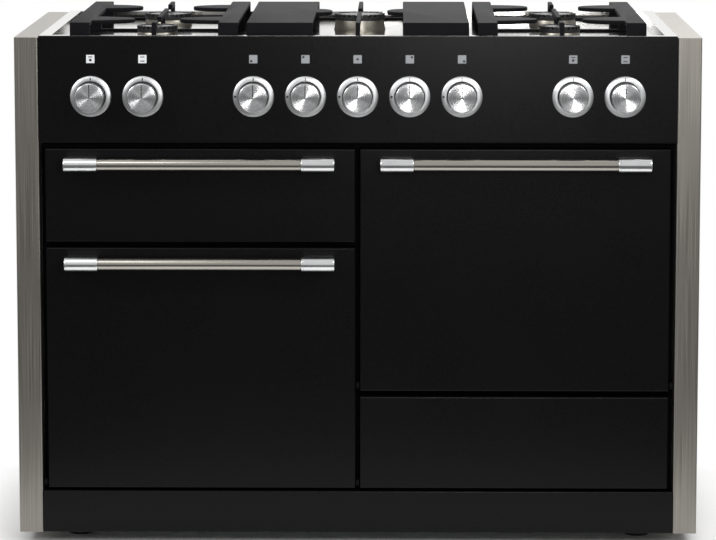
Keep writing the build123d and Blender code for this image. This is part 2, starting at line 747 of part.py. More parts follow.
def side_grate(side):
    cx = side * GRATE_X
    half = SIDE_GRATE_W / 2
    ends = (GRATE_Y, GRATE_Y + GRATE_L)
    burners = [b for b in BURNERS if b[0] == cx]
    front = min(burners, key=lambda b: b[1])
    rear = max(burners, key=lambda b: b[1])
    middle = (front[1] + rear[1]) / 2
    feet = (ends[0] + LOW_BAR / 2, middle, ends[1] - LOW_BAR / 2)
    with BuildPart() as grate:
        with BuildSketch(Plane.XY.offset(GRATE_TOP - GRATE_T)):
            for sign in (-1, 1):
                with Locations((cx + sign * (half - RAIL_W / 2), sum(ends) / 2)):
                    Rectangle(RAIL_W, GRATE_L)
                for _, by, crown, _ in burners:
                    edge = half - RAIL_W
                    with Locations((cx + sign * edge, by)):
                        Ellipse(edge - crown - TIP_GAP, LENS)
            with Locations((cx, sum(ends) / 2)):
                Rectangle(SIDE_GRATE_W, GRATE_L, mode=Mode.INTERSECT)
        extrude(amount=GRATE_T)
        for y in feet:
            foot_bar((cx - half, cx + half), y)
            for sign in (-1, 1):
                x = cx + sign * (half - RAIL_W / 2)
                span = (x - RAIL_W / 2, x + RAIL_W / 2)
                block(span, (y - LOW_BAR / 2, y + LOW_BAR / 2), (DECK, GRATE_TOP))
        finger(cx, feet[0], front[1] - front[2] - TIP_GAP)
        finger(cx, feet[1], front[1] + front[2] + TIP_GAP)
        finger(cx, feet[1], rear[1] - rear[2] - TIP_GAP)
        finger(cx, feet[2], rear[1] + rear[2] + TIP_GAP)
    return grate.part


def middle_grate():
    half = MID_GRATE_W / 2
    ends = (GRATE_Y, GRATE_Y + GRATE_L)
    _, by, crown, _ = BURNERS[2]
    feet = (ends[0] + LOW_BAR / 2, ends[1] - LOW_BAR / 2)
    with BuildPart() as grate:
        with BuildSketch(Plane.XY.offset(GRATE_TOP - GRATE_T)):
            for sign in (-1, 1):
                with Locations((sign * (half - PLATE_W / 2), sum(ends) / 2)):
                    Rectangle(PLATE_W, GRATE_L)
                with Locations((sign * (half - PLATE_W), by)):
                    Ellipse(half - PLATE_W - crown - TIP_GAP, LENS)
        extrude(amount=GRATE_T)
        for y in feet:
            foot_bar((-half, half), y)
            for sign in (-1, 1):
                span = (sign * (half - PLATE_W), sign * half)
                block(span, (y - LOW_BAR / 2, y + LOW_BAR / 2), (DECK, GRATE_TOP))
        finger(0, feet[0], by - crown - TIP_GAP)
        finger(0, feet[1], by + crown + TIP_GAP)
    return grate.part


# Fronts: trays with rounded edges, all of one width
def front_tray(cx, z0, height):
    x = (cx - FRONT_W / 2, cx + FRONT_W / 2)
    y = (FRONT_Y, FRONT_Y + DOOR_D - SHEET)
    with BuildPart() as tray:
        block(x, y, (z0, z0 + height))
        fillet(tray.faces().sort_by(Axis.Y)[0].edges(), EDGE_R)
        block(
            (x[0] + SHEET, x[1] - SHEET),
            (FRONT_Y + SHEET, y[1] + PAST),
            (z0 + SHEET, z0 + height - SHEET),
            Mode.SUBTRACT,
        )
    return tray


# Oven doors: outer tray with hinge bosses in its lower corners, and an inner panel
def oven_door(cx, z0):
    tray = front_tray(cx, z0, DOOR_H)
    py, pz = FRONT_Y + PIVOT, z0 + PIVOT
    with BuildPart() as door:
        add(tray.part)
        for side in (-1, 1):
            outer = cx + side * FRONT_W / 2
            x = (outer - side * SHEET, outer - side * (SHEET + BOSS))
            block(x, (FRONT_Y + SHEET, py + PIVOT), (z0 + SHEET, pz + PIVOT))
            bore = (outer + side * PAST, outer - side * BOSS)
            rod_x(bore, py, pz, PIN_R + RUN_FIT, Mode.SUBTRACT)
    return door.part


def oven_door_inner(cx, z0):
    y = (FRONT_Y + DOOR_D - SHEET, FRONT_Y + DOOR_D)
    half_w = OVEN_W / 2 - GAP
    oven_z = z0 + OVEN_UP
    with BuildPart() as inner:
        x = (cx - FRONT_W / 2, cx + FRONT_W / 2)
        block(x, y, (z0, z0 + DOOR_H))
        block(
            (cx - half_w, cx + half_w),
            (y[1], FRAME_Y + SHEET),
            (oven_z + 2 * GAP, oven_z + OVEN_H - GAP),
        )
    return inner.part


def hinge_lugs():
    with BuildPart() as lugs:
        for cx, z0 in ((-FRONT_X, LOW_Z), (FRONT_X, HIGH_Z)):
            py, pz = FRONT_Y + PIVOT, z0 + PIVOT
            for side in (-1, 1):
                outer = cx + side * FRONT_W / 2
                gap = GAP if side * cx > 0 else CENTRE_GAP
                near = outer + side * (gap - LUG_T) / 2
                x = (near, near + side * LUG_T)
                lug_r = PIVOT - LUG_TRIM
                block(x, (py, FRAME_Y), (pz - lug_r, pz + lug_r))
                rod_x(x, py, pz, lug_r)
                rod_x((near, outer - side * (BOSS - PAST)), py, pz, PIN_R)
    return lugs.part


# Handles: round bar between two thicker end sleeves on brackets
def handle(cx, top):
    z = top - HANDLE_DROP
    end = HANDLE_L / 2
    with BuildPart() as grip:
        rod_x((cx - end, cx + end), HANDLE_Y, z, BAR_R)
        for side in (-1, 1):
            x = (cx + side * end, cx + side * (end - SLEEVE_L))
            rod_x(x, HANDLE_Y, z, SLEEVE_R)
            block(
                (x[0] - side * STANDOFF_IN, x[1] + side * STANDOFF_IN),
                (HANDLE_Y, FRONT_Y),
                (z - STANDOFF_H / 2, z + STANDOFF_H / 2),
            )
    return grip.part


# Grill: carriage on telescopic rails carries the front, the pan and its trivet
RUNNER_T = 5.0
RUNNER_H = 22.0
RUNNER_UP = 45.0  # above the grill's floor
RUNNER_SHORT = 40.0  # shorter than the grill is deep
CROSS = 12.0
RUNNER_Z = GRILL_Z + RUNNER_UP
RUNNER_L = GRILL_D - RUNNER_SHORT


def runner_x(step, side):
    """Both faces of one telescopic rail, counted from the grill liner's wall inwards."""
    wall = OVEN_W / 2 - step * (RUNNER_T + SLIDE_FIT)
    return (-FRONT_X + side * wall, -FRONT_X + side * (wall - RUNNER_T))


def runner_rails():
    with BuildPart() as rails:
        y = (FRAME_B + GAP, FRAME_B + GAP + RUNNER_L)
        for side in (-1, 1):
            block(runner_x(0, side), y, (RUNNER_Z, RUNNER_Z + RUNNER_H))
            x = FRONT_X + side * (DRAWER_W / 2 + SLIDE_FIT)
            span = (x, x + side * RUNNER_T)
            block(span, (FRAME_B + FIT, DRAWER_BACK), (BASE_TOP, DRAWER_RIM))
    return rails.part


def grill_rails_mid():
    with BuildPart() as rails:
        y = (FRAME_B + GAP, FRAME_B + GAP + RUNNER_L)
        for side in (-1, 1):
            block(runner_x(1, side), y, (RUNNER_Z, RUNNER_Z + RUNNER_H))
    return rails.part


def grill_carriage():
    face = FRONT_Y + DOOR_D - SHEET
    x = (-FRONT_X - FRONT_W / 2, -FRONT_X + FRONT_W / 2)
    rear = FRAME_B + GAP + RUNNER_L
    with BuildPart() as carriage:
        block(x, (face, face + SHEET), (TALL_Z, TALL_Z + SHORT_H))
        for side in (-1, 1):
            block(runner_x(2, side), (face, rear), (RUNNER_Z, RUNNER_Z + RUNNER_H))
        inner = (runner_x(2, -1)[1], runner_x(2, 1)[1])
        block(inner, (rear - CROSS, rear), (RUNNER_Z, RUNNER_Z + SHEET))
    return carriage.part


PAN_H = 34.0
PAN_FIT = 2.0  # pan inside the carriage
TRIVET_T = 4.0
TRIVET_PITCH = 20.0


def grill_pan():
    inner = runner_x(2, 1)[1] + FRONT_X
    half = inner - PAN_FIT
    top = RUNNER_Z + RUNNER_H
    y = (FRAME_B + 2 * GAP, FRAME_B + RUNNER_L - 2 * GAP)
    with BuildPart() as pan:
        block((-FRONT_X - half, -FRONT_X + half), y, (top - PAN_H, top + SHEET))
        rim = inner + RUNNER_T
        block((-FRONT_X - rim, -FRONT_X + rim), y, (top, top + SHEET))
        block(
            (-FRONT_X - half + SHEET, -FRONT_X + half - SHEET),
            (y[0] + SHEET, y[1] - SHEET),
            (top - PAN_H + SHEET, top + SHEET + PAST),
            Mode.SUBTRACT,
        )
        floor = top - PAN_H + SHEET
        width = 2 * (half - GAP)
        length = y[1] - y[0] - 2 * GAP
        with BuildSketch(Plane(origin=(-FRONT_X, sum(y) / 2, floor + GAP))):
            Rectangle(width, length)
            with GridLocations(TRIVET_PITCH, 0, int(width / TRIVET_PITCH) - 1, 1):
                Rectangle(TRIVET_PITCH - TRIVET_T, length - 2 * GAP, mode=Mode.SUBTRACT)
        extrude(amount=TRIVET_T)
        leg = TRIVET_T / 2
        for sx in (-1, 1):
            for sy in (-1, 1):
                lx = -FRONT_X + sx * (width / 2 - leg)
                ly = sum(y) / 2 + sy * (length / 2 - leg)
                z = (floor + FIT / 2, floor + GAP)
                block((lx - leg, lx + leg), (ly - leg, ly + leg), z)
    return pan.part


# Drawer: box with a rim that runs on two upright rails
DRAWER_H = 100.0
DRAWER_SHORT = 15.5  # drawer ahead of the ovens' rear walls
DRAWER_W = FRONT_W - 8 * GAP
DRAWER_FLOOR = LOW_Z + 2 * GAP
DRAWER_RIM = DRAWER_FLOOR + DRAWER_H
DRAWER_BACK = LINER_B - DRAWER_SHORT


def drawer_box():
    face = FRONT_Y + DOOR_D - SHEET
    half = DRAWER_W / 2
    rim_z = DRAWER_RIM + SLIDE_FIT
    with BuildPart() as box:
        x = (FRONT_X - half, FRONT_X + half)
        wide = (FRONT_X - half - 2 * RUNNER_T, FRONT_X + half + 2 * RUNNER_T)
        block(
            (FRONT_X - FRONT_W / 2, FRONT_X + FRONT_W / 2),
            (face, face + SHEET),
            (LOW_Z, LOW_Z + SHORT_H),
        )
        block(x, (face, DRAWER_BACK), (DRAWER_FLOOR, rim_z + SHEET))
        block(wide, (face, DRAWER_BACK), (rim_z, rim_z + SHEET))
        block(
            (x[0] + SHEET, x[1] - SHEET),
            (face + SHEET, DRAWER_BACK - SHEET),
            (DRAWER_FLOOR + SHEET, rim_z + SHEET + PAST),
            Mode.SUBTRACT,
        )
    return box.part


def levelling_feet():
    with BuildPart() as feet:
        for x in (FOOT_IN - X_IN, X_IN - FOOT_IN):
            for y in (FRAME_Y + FOOT_BACK, BACK_Y - FOOT_BACK):
                rod_z(x, y, (0, FOOT_T), FOOT_R)
                rod_z(x, y, (FOOT_T, BASE_Z), FOOT_STEM_R)
                rod_z(x, y, (BASE_Z - FOOT_NUT_T, BASE_Z), FOOT_NUT_R)
    return feet.part


def back_screws():
    with BuildPart() as screws:
        for x, z in SCREWS:
            head = BACK_Y + SHEET
            rod_y(x, (head, head + HEAD_T), z, HEAD_R)
            rod_y(x, (head - SCREW_L, head), z, SCREW_R)
    return screws.part


save(side_panel(-1), "side_panel_left")
save(side_panel(1), "side_panel_right")
save(base_tray(), "base_tray")
save(front_frame(), "front_frame")
save(back_panel(), "back_panel")
save(cable_housing(), "cable_housing")
save(plinth(), "plinth")
save(control_panel(), "control_panel")
save(hob_plate(), "hob_plate")
save(oven_liners(), "oven_liners")
save(grill_liner(), "grill_liner")
save(grill_element(), "grill_element")
save(oven_racks(), "oven_racks")
save(fan_covers(), "fan_covers")
save(fan_motors(), "fan_motors")
save(oven_fan(-FRONT_X, LEFT_OVEN_Z), "oven_fan_left")
save(oven_fan(FRONT_X, RIGHT_OVEN_Z), "oven_fan_right")
save(oven_seals(), "oven_seals")
save(burner_bases(), "burner_bases")
save(burner_heads(), "burner_heads")
save(burner_caps(), "burner_caps")
save(ignition_probes(), "ignition_probes")
save(gas_pipework(), "gas_pipework")
save(gas_taps(), "gas_taps")
save(oven_switches(), "oven_switches")
save(knob_bezels(), "knob_bezels")
for number, kx in enumerate(GAS_KNOBS, 1):
    save(tap_spindle(kx), f"tap_spindle_{number}")
    save(knob(kx, True), f"gas_knob_{number}")
for number, kx in enumerate(OVEN_KNOBS, 1):
    save(knob(kx, False), f"oven_knob_{number}")
save(side_grate(-1), "pan_support_left")
save(middle_grate(), "pan_support_middle")
save(side_grate(1), "pan_support_right")
save(oven_door(-FRONT_X, LOW_Z), "oven_door_left")
save(oven_door_inner(-FRONT_X, LOW_Z), "oven_door_inner_left")
save(handle(-FRONT_X, LOW_Z + DOOR_H), "oven_handle_left")
save(oven_door(FRONT_X, HIGH_Z), "oven_door_right")
save(oven_door_inner(FRONT_X, HIGH_Z), "oven_door_inner_right")
save(handle(FRONT_X, HIGH_Z + DOOR_H), "oven_handle_right")
save(hinge_lugs(), "hinge_lugs")
save(front_tray(-FRONT_X, TALL_Z, SHORT_H).part, "grill_front")
save(handle(-FRONT_X, TALL_Z + SHORT_H), "grill_handle")
save(grill_carriage(), "grill_carriage")
save(grill_rails_mid(), "grill_rails_mid")
save(grill_pan(), "grill_pan")
save(runner_rails(), "runner_rails")
save(front_tray(FRONT_X, LOW_Z, SHORT_H).part, "drawer_front")
save(drawer_box(), "drawer_box")
save(levelling_feet(), "levelling_feet")
save(back_screws(), "back_screws")
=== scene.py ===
"""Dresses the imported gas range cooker: finishes, fine meshes, floor, light and camera."""

import logging
import math
from collections.abc import Iterable, Sequence
from dataclasses import dataclass, replace
from enum import Enum

import bmesh
import bpy
from bmesh.types import BMesh, BMVert
from bpy.types import ID, Material, Node, NodeSocket, NodeTree, Object
from mathutils import Matrix, Vector


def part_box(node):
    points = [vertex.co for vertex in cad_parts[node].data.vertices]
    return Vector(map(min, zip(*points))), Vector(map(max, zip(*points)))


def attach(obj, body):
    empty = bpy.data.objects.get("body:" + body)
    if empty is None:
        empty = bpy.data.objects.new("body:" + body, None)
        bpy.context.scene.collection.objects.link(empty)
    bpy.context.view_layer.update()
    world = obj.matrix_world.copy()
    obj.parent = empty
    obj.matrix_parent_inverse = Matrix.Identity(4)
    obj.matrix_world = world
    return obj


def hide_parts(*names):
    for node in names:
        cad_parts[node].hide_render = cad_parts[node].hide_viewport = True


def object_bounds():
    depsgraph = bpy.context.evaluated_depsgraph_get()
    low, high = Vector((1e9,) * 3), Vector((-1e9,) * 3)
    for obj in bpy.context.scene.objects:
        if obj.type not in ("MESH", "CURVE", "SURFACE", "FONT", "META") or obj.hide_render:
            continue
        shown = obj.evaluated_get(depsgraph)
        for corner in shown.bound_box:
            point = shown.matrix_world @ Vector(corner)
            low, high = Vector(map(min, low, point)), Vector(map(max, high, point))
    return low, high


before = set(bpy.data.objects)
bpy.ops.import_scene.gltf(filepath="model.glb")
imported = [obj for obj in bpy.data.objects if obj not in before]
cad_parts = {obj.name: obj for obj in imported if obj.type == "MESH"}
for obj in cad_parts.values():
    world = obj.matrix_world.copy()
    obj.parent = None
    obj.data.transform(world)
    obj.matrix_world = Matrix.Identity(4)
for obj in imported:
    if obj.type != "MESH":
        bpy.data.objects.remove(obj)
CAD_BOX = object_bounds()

LOG = logging.getLogger("cooker")
MM = 0.001
SHARP = math.radians(32)  # edges turned further than this stay crisp
FLAT = math.radians(1)  # faces turned less than this are one face
SAME = 0.01 * MM  # corners nearer than this are one corner
EASE_STEPS = 4  # faces round an eased corner
WIRE_SIDES = 10  # faces round a wire
FRAME_SIDES = 12  # and round the frame of a grid
BEND_STEPS = 6  # faces along a bent corner of that frame
HEAD_SIDES = 20  # faces round a screw head
HOOD_SIDES, HOOD_RINGS = 16, 8  # faces round a vent hood and over it
ACROSS = 0.25  # of a turn: the shine of a turned face lies across its tool marks

Point = tuple[float, float, float]


class Coords(Enum):
    """What a pattern is laid out on."""

    PLACE = "Object"
    OWN_MAP = "UV"


class Pattern(Enum):
    """The texture that draws a pattern, and which of its outputs is read."""

    FIBRES = ("ShaderNodeTexNoise", "Fac")
    CELLS = ("ShaderNodeTexVoronoi", "Color")


class Axis(Enum):
    """One of the three axes of the shared frame, as an index into x, y, z."""

    X = 0
    Y = 1
    Z = 2


def linear(colour: str) -> tuple[float, float, float, float]:
    """Turns an sRGB hex colour into linear light.

    Args:
        colour: Six hex digits after a hash sign.

    Returns:
        Red, green, blue and a full alpha.
    """
    parts = [int(colour[i : i + 2], 16) / 255 for i in (1, 3, 5)]
    curve = [c / 12.92 if c <= 0.04045 else ((c + 0.055) / 1.055) ** 2.4 for c in parts]
    return (curve[0], curve[1], curve[2], 1.0)


def put(
    tree: NodeTree,
    kind: str,
    links: dict[str | int, NodeSocket | Node] | None = None,
    values: dict[str | int, object] | None = None,
    **settings: object,
) -> Node:
    """Adds one node with its settings, values and links.

    Args:
        tree: Shader or geometry tree that takes the node.
        kind: Blender's type name of the node.
        links: Input name or number, and the socket that feeds it; a node gives its first output.
        values: Input name or number, and its fixed value.
        **settings: Properties of the node itself.

    Returns:
        The new node.
    """
    node = tree.nodes.new(kind)
    for key, value in settings.items():
        setattr(node, key, value)
    for key, value in (values or {}).items():
        node.inputs[key].default_value = value
    for key, source in (links or {}).items():
        socket = source.outputs[0] if isinstance(source, Node) else source
        tree.links.new(socket, node.inputs[key])
    return node


@dataclass(frozen=True)
class Box:
    """The room that a node or one loose solid takes up, in millimetres."""

    low: Point
    high: Point

    @property
    def middle(self) -> Point:
        """The point halfway between its corners."""
        x, y, z = ((a + b) / 2 for a, b in zip(self.low, self.high))
        return (x, y, z)

    def size(self, axis: Axis) -> float:
        """Its length along one axis."""
        return self.high[axis.value] - self.low[axis.value]


def box_round(points: Iterable[Vector]) -> Box:
    """Draws a box round points given in metres.

    Args:
        points: The points.

    Returns:
        Their box in millimetres.
    """
    rows = list(zip(*points))
    low, high = ([pick(row) / MM for row in rows] for pick in (min, max))
    return Box((low[0], low[1], low[2]), (high[0], high[1], high[2]))


def measured(node: str) -> Box:
    """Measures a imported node.

    Args:
        node: Name of the node.

    Returns:
        Its box at rest.
    """
    return box_round(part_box(node))


def loose_solids(bm: BMesh) -> list[list[BMVert]]:
    """Sorts the corners of a merged mesh by the solid that they belong to.

    Args:
        bm: The mesh.

    Returns:
        One list of corners for each loose solid, from left to right.
    """
    left = dict.fromkeys(bm.verts)
    solids = []
    while left:
        solid = [left.popitem()[0]]
        for vert in solid:
            for line in vert.link_edges:
                other = line.other_vert(vert)
                if other in left:
                    del left[other]
                    solid.append(other)
        solids.append(solid)
    return sorted(solids, key=lambda solid: box_round(vert.co for vert in solid).low)


def copied(node: str) -> BMesh:
    """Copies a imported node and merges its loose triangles.

    Args:
        node: Name of the node.

    Returns:
        The copy, with flat faces in one piece.
    """
    bm = bmesh.new()
    bm.from_mesh(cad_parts[node].data)
    bmesh.ops.remove_doubles(bm, verts=bm.verts[:], dist=SAME)
    bmesh.ops.dissolve_limit(bm, angle_limit=FLAT, verts=bm.verts[:], edges=bm.edges[:])
    for face in bm.faces:
        face.material_index = 0
    return bm


def measured_each(node: str) -> list[Box]:
    """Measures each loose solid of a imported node.

    Args:
        node: Name of the node.

    Returns:
        Their boxes, from left to right.
    """
    bm = copied(node)
    boxes = [box_round(vert.co for vert in solid) for solid in loose_solids(bm)]
    bm.free()
    return boxes


@dataclass(frozen=True)
class Grain:
    """A surface pattern whose sizes are those of the real one, in millimetres."""

    size: float | Point  # one number for an even grain
    pattern: Pattern = Pattern.FIBRES
    coords: Coords = Coords.PLACE
    detail: float = 2.0
    low: float = 0.35
    high: float = 0.65
    depth: float = 0.0  # relief
    spread: float = 0.05  # change of roughness
    cloud: float = 0.04  # slow change of roughness from handling
    cloud_size: float = 160.0
    cloud_detail: float = 3.0


@dataclass(frozen=True)
class Finish:
    """One real finish: its colours, its gloss and the pattern of its making."""

    name: str
    slot: str
    colour: str
    shade: str  # colour at the high end of the pattern
    grain: Grain
    metallic: float = 0.0
    roughness: float = 0.5
    specular: float = 0.5
    anisotropic: float = 0.0

    def material(self) -> Material:
        """Builds the finish once and hands out the same material afterwards.

        Returns:
            The node material.
        """
        made = bpy.data.materials.get(self.name)
        if made is not None:
            return made
        made = bpy.data.materials.new(self.name)
        made.use_nodes = True
        tree, grain = made.node_tree, self.grain
        shader = tree.nodes["Principled BSDF"]
        shader.inputs["Metallic"].default_value = self.metallic
        shader.inputs["Specular IOR Level"].default_value = self.specular
        shader.inputs["Anisotropic"].default_value = self.anisotropic
        shader.inputs["Anisotropic Rotation"].default_value = ACROSS
        kind, output = grain.pattern.value
        place = put(tree, "ShaderNodeTexCoord").outputs[grain.coords.value]
        sizes = grain.size if isinstance(grain.size, tuple) else (grain.size,) * 3
        scale = [1 / (size * MM) for size in sizes]
        scaled = put(tree, "ShaderNodeMapping", {"Vector": place}, {"Scale": scale})
        drawn = put(tree, kind, {"Vector": scaled}, {"Scale": 1.0, "Detail": grain.detail})
        span = {"From Min": grain.low, "From Max": grain.high}
        tone = put(tree, "ShaderNodeMapRange", {"Value": drawn.outputs[output]}, span)
        colours = {6: linear(self.colour), 7: linear(self.shade)}
        mixed = put(tree, "ShaderNodeMix", {0: tone}, colours, data_type="RGBA")
        tree.links.new(mixed.outputs[2], shader.inputs["Base Color"])
        whole = put(tree, "ShaderNodeTexCoord").outputs["Object"]
        cloud = {"Scale": 1 / (grain.cloud_size * MM), "Detail": grain.cloud_detail}
        slow = put(tree, "ShaderNodeTexNoise", {"Vector": whole}, cloud)
        least = {1: 2 * grain.spread, 2: self.roughness - grain.spread - grain.cloud / 2}
        rough = put(tree, "ShaderNodeMath", {0: tone}, least, operation="MULTIPLY_ADD")
        worn = put(tree, "ShaderNodeMath", {0: slow, 2: rough}, {1: grain.cloud}, operation="MULTIPLY_ADD")
        tree.links.new(worn.outputs[0], shader.inputs["Roughness"])
        if grain.depth:
            relief = put(tree, "ShaderNodeBump", {"Height": tone}, {"Distance": grain.depth * MM})
            tree.links.new(relief.outputs[0], shader.inputs["Normal"])
        if self.anisotropic:
            turned = put(tree, "ShaderNodeTangent", direction_type="UV_MAP", uv_map="turned")
            tree.links.new(turned.outputs[0], shader.inputs["Tangent"])
        return made


# Cold-rolled stainless sheet, brushed up and down: soft grey with fine upright streaks.
# Real scratches are 0.1 mm apart and are drawn at 1.2 mm so that they show.
BRUSHED_STEEL = Finish(
    "stainless_brushed_upright", "brushed steel", "#8a867f", "#9e9a93",
    Grain((1.2, 1.2, 240.0), depth=0.003), metallic=1.0, roughness=0.36,
)
# The same sheet polished for the hob: clear reflections with a trace of polishing haze.
# The polishing lines are under 0.1 mm apart and are drawn at 2.4 mm so that they show.
HOB_STEEL = Finish(
    "stainless_polished_hob", "polished steel", "#c9c7c4", "#d3d1ce",
    Grain((180.0, 2.4, 2.4), spread=0.015, cloud=0.03), metallic=1.0, roughness=0.11,
)
# Satin vitreous enamel on steel sheet: deep black, broad soft sheen, faint orange peel.
BLACK_ENAMEL = Finish(
    "vitreous_enamel_satin_black", "black enamel", "#060607", "#09090a",
    Grain(1.6, depth=0.005, spread=0.02, cloud=0.06), roughness=0.29, specular=0.15,
)
# Matt ground enamel behind the fronts: soot black, painted shade so that the gaps read as dark lines.
GROUND_ENAMEL_GAP_SHADE = Finish(
    "vitreous_enamel_gap_shade", "dark enamel", "#050505", "#090909",
    Grain(1.2, depth=0.01), roughness=0.7, specular=0.08,
)
# Grey-black oven enamel with pale flecks, fired glossy.
OVEN_ENAMEL = Finish(
    "vitreous_enamel_flecked", "dark enamel", "#17181b", "#8c9098",
    Grain(1.4, low=0.66, high=0.74, depth=0.004, spread=0.02), roughness=0.22,
)
# Zinc-dipped sheet: dull grey with crystals about a centimetre across.
GALVANISED = Finish(
    "galvanised_sheet_spangled", "galvanised steel", "#949899", "#a6aaab",
    Grain(11.0, Pattern.CELLS, low=0.2, high=0.8, spread=0.08),
    metallic=1.0, roughness=0.46,
)
# Sand-cast iron under matt black enamel: rough, almost no shine.
CAST_IRON = Finish(
    "cast_iron_matt_enamel", "cast iron", "#0b0b0d", "#141417",
    Grain(0.9, detail=4.0, depth=0.05, spread=0.08), roughness=0.6, specular=0.06,
)
# Aluminium spun on a lathe: fine rings that throw bright and dark wedges.
# Tool marks are 0.15 mm apart and are drawn at 0.5 mm so that they show.
SPUN_ALUMINIUM = Finish(
    "aluminium_spun", "satin aluminium", "#dcdddf", "#eeeff0",
    Grain((1500.0, 0.5, 1.0), coords=Coords.OWN_MAP, depth=0.001, spread=0.03),
    metallic=1.0, roughness=0.25, anisotropic=0.9,
)
# The same metal on the bezels, blasted after turning: paler, with a broad soft shine.
BLASTED_ALUMINIUM = Finish(
    "aluminium_turned_blasted", "satin aluminium", "#d2d3d5", "#e2e3e4",
    Grain((1500.0, 0.5, 1.0), coords=Coords.OWN_MAP, depth=0.002, spread=0.03),
    metallic=1.0, roughness=0.4, anisotropic=0.4,
)
# Stainless tube drawn and brushed along its length: bands of light and dark along the bar.
# Its scratches are 0.1 mm apart and are drawn at 0.9 mm so that they show.
BRUSHED_BAR = Finish(
    "stainless_tube_brushed", "satin aluminium", "#b3afa7", "#c0bcb4",
    Grain((160.0, 0.9, 0.9), depth=0.002, spread=0.03), metallic=1.0, roughness=0.17,
)
# Plated sleeves, satin polished: the brightest metal of the front, with soft bands.
CHROME = Finish(
    "chrome_plate_satin", "chrome", "#eff0f1", "#f6f7f8",
    Grain(30.0, spread=0.015, cloud=0.02), metallic=1.0, roughness=0.2,
)
# Drawn steel with bright plating, on racks, trivet, gas pipes and screws: pale, sharp highlights.
WIRE_PLATE = Finish(
    "steel_wire_plated", "chrome", "#b4b4b3", "#c6c6c5",
    Grain(6.0), metallic=1.0, roughness=0.22,
)
# Cast burner metal darkened by heat, on crowns and grill element: grey-black, dull and grainy.
BURNER_METAL = Finish(
    "aluminium_cast_burnt", "dark enamel", "#19191b", "#262627",
    Grain(0.8, detail=3.0, depth=0.03, spread=0.08), metallic=0.4, roughness=0.55,
)
# Die-cast alloy of the burner bodies: pale warm grey, slightly grainy.
BURNER_ALLOY = Finish(
    "aluminium_die_cast", "satin aluminium", "#8d897f", "#a09c92",
    Grain(1.1, detail=3.0, depth=0.02, spread=0.06), metallic=1.0, roughness=0.38,
)
# Cap enamel: smooth and glossier than the pan supports.
CAP_ENAMEL = Finish(
    "vitreous_enamel_cap", "black enamel", "#101012", "#17171a",
    Grain(2.2, depth=0.008, spread=0.03), roughness=0.3,
)
# Turned brass with a dull yellow skin.
BRASS = Finish(
    "brass_turned", "brass", "#a8854a", "#bb9a5c",
    Grain(3.0, depth=0.01, spread=0.06), metallic=1.0, roughness=0.34,
)
# Moulded phenolic plastic: black with a fine spark-eroded grain; on the sides of the knobs its black is
# painted shade.
BLACK_PLASTIC_AND_SHADE = Finish(
    "phenolic_black_and_painted_shade", "black plastic", "#131314", "#1d1d1f",
    Grain(0.7, depth=0.02), roughness=0.48,
)
# Woven glass-fibre gasket in silicone: matt, dark, slightly ribbed.
GASKET = Finish(
    "silicone_gasket_extruded", "rubber", "#1a1a1b", "#2a2a2b",
    Grain(1.5, depth=0.06, spread=0.06), roughness=0.72, specular=0.3,
)
# Glazed porcelain of the spark probes: off-white under a clear glaze.
PORCELAIN = Finish(
    "porcelain_glazed", "ceramic white", "#d9d5ca", "#e6e2d8",
    Grain(4.0, spread=0.03), roughness=0.2,
)
# Fired screen print in white, on the panel over the left pair of knobs: flat, with little shine.
WHITE_PRINT = Finish(
    "screen_print_white", "ceramic white", "#cfd1d3", "#dcdee0",
    Grain(0.5, spread=0.04),
)
# The same print thinned to grey, over the other knobs.
GREY_PRINT = Finish(
    "screen_print_grey", "ceramic white", "#84878a", "#96999c",
    Grain(0.5, spread=0.04),
)
# Black paint of pointers, marks and spots, and painted shade in the bezel recesses round the knobs: flat
# black, a little uneven.
BLACK_PAINT_AND_SHADE = Finish(
    "paint_black_and_painted_shade", "black plastic", "#0d0d0e", "#151516",
    Grain(0.6, depth=0.01),
)


@dataclass(frozen=True)
class Corner:
    """A corner of a turned section, in millimetres."""

    radius: float
    along: float
    ease: float = 0.0  # how far its rounding reaches along both sides
    slot: int = 0  # material from here to the next corner


def eased(corners: Sequence[Corner]) -> list[Corner]:
    """Rounds the corners of a section that ask for it.

    Args:
        corners: The section from end to end.

    Returns:
        The section with a curve of short steps in place of each rounded corner.
    """
    section = []
    for before, corner, after in zip([corners[0], *corners], corners, [*corners[1:], corners[-1]]):
        if not corner.ease:
            section.append(corner)
            continue
        here, *others = (Vector((c.radius, c.along)) for c in (corner, before, after))
        start, end = (here + (other - here).normalized() * corner.ease for other in others)
        for step in range(EASE_STEPS + 1):
            t = step / EASE_STEPS
            place = start * (1 - t) ** 2 + here * 2 * t * (1 - t) + end * t**2
            section.append(replace(corner, radius=place.x, along=place.y, ease=0.0))
    return section


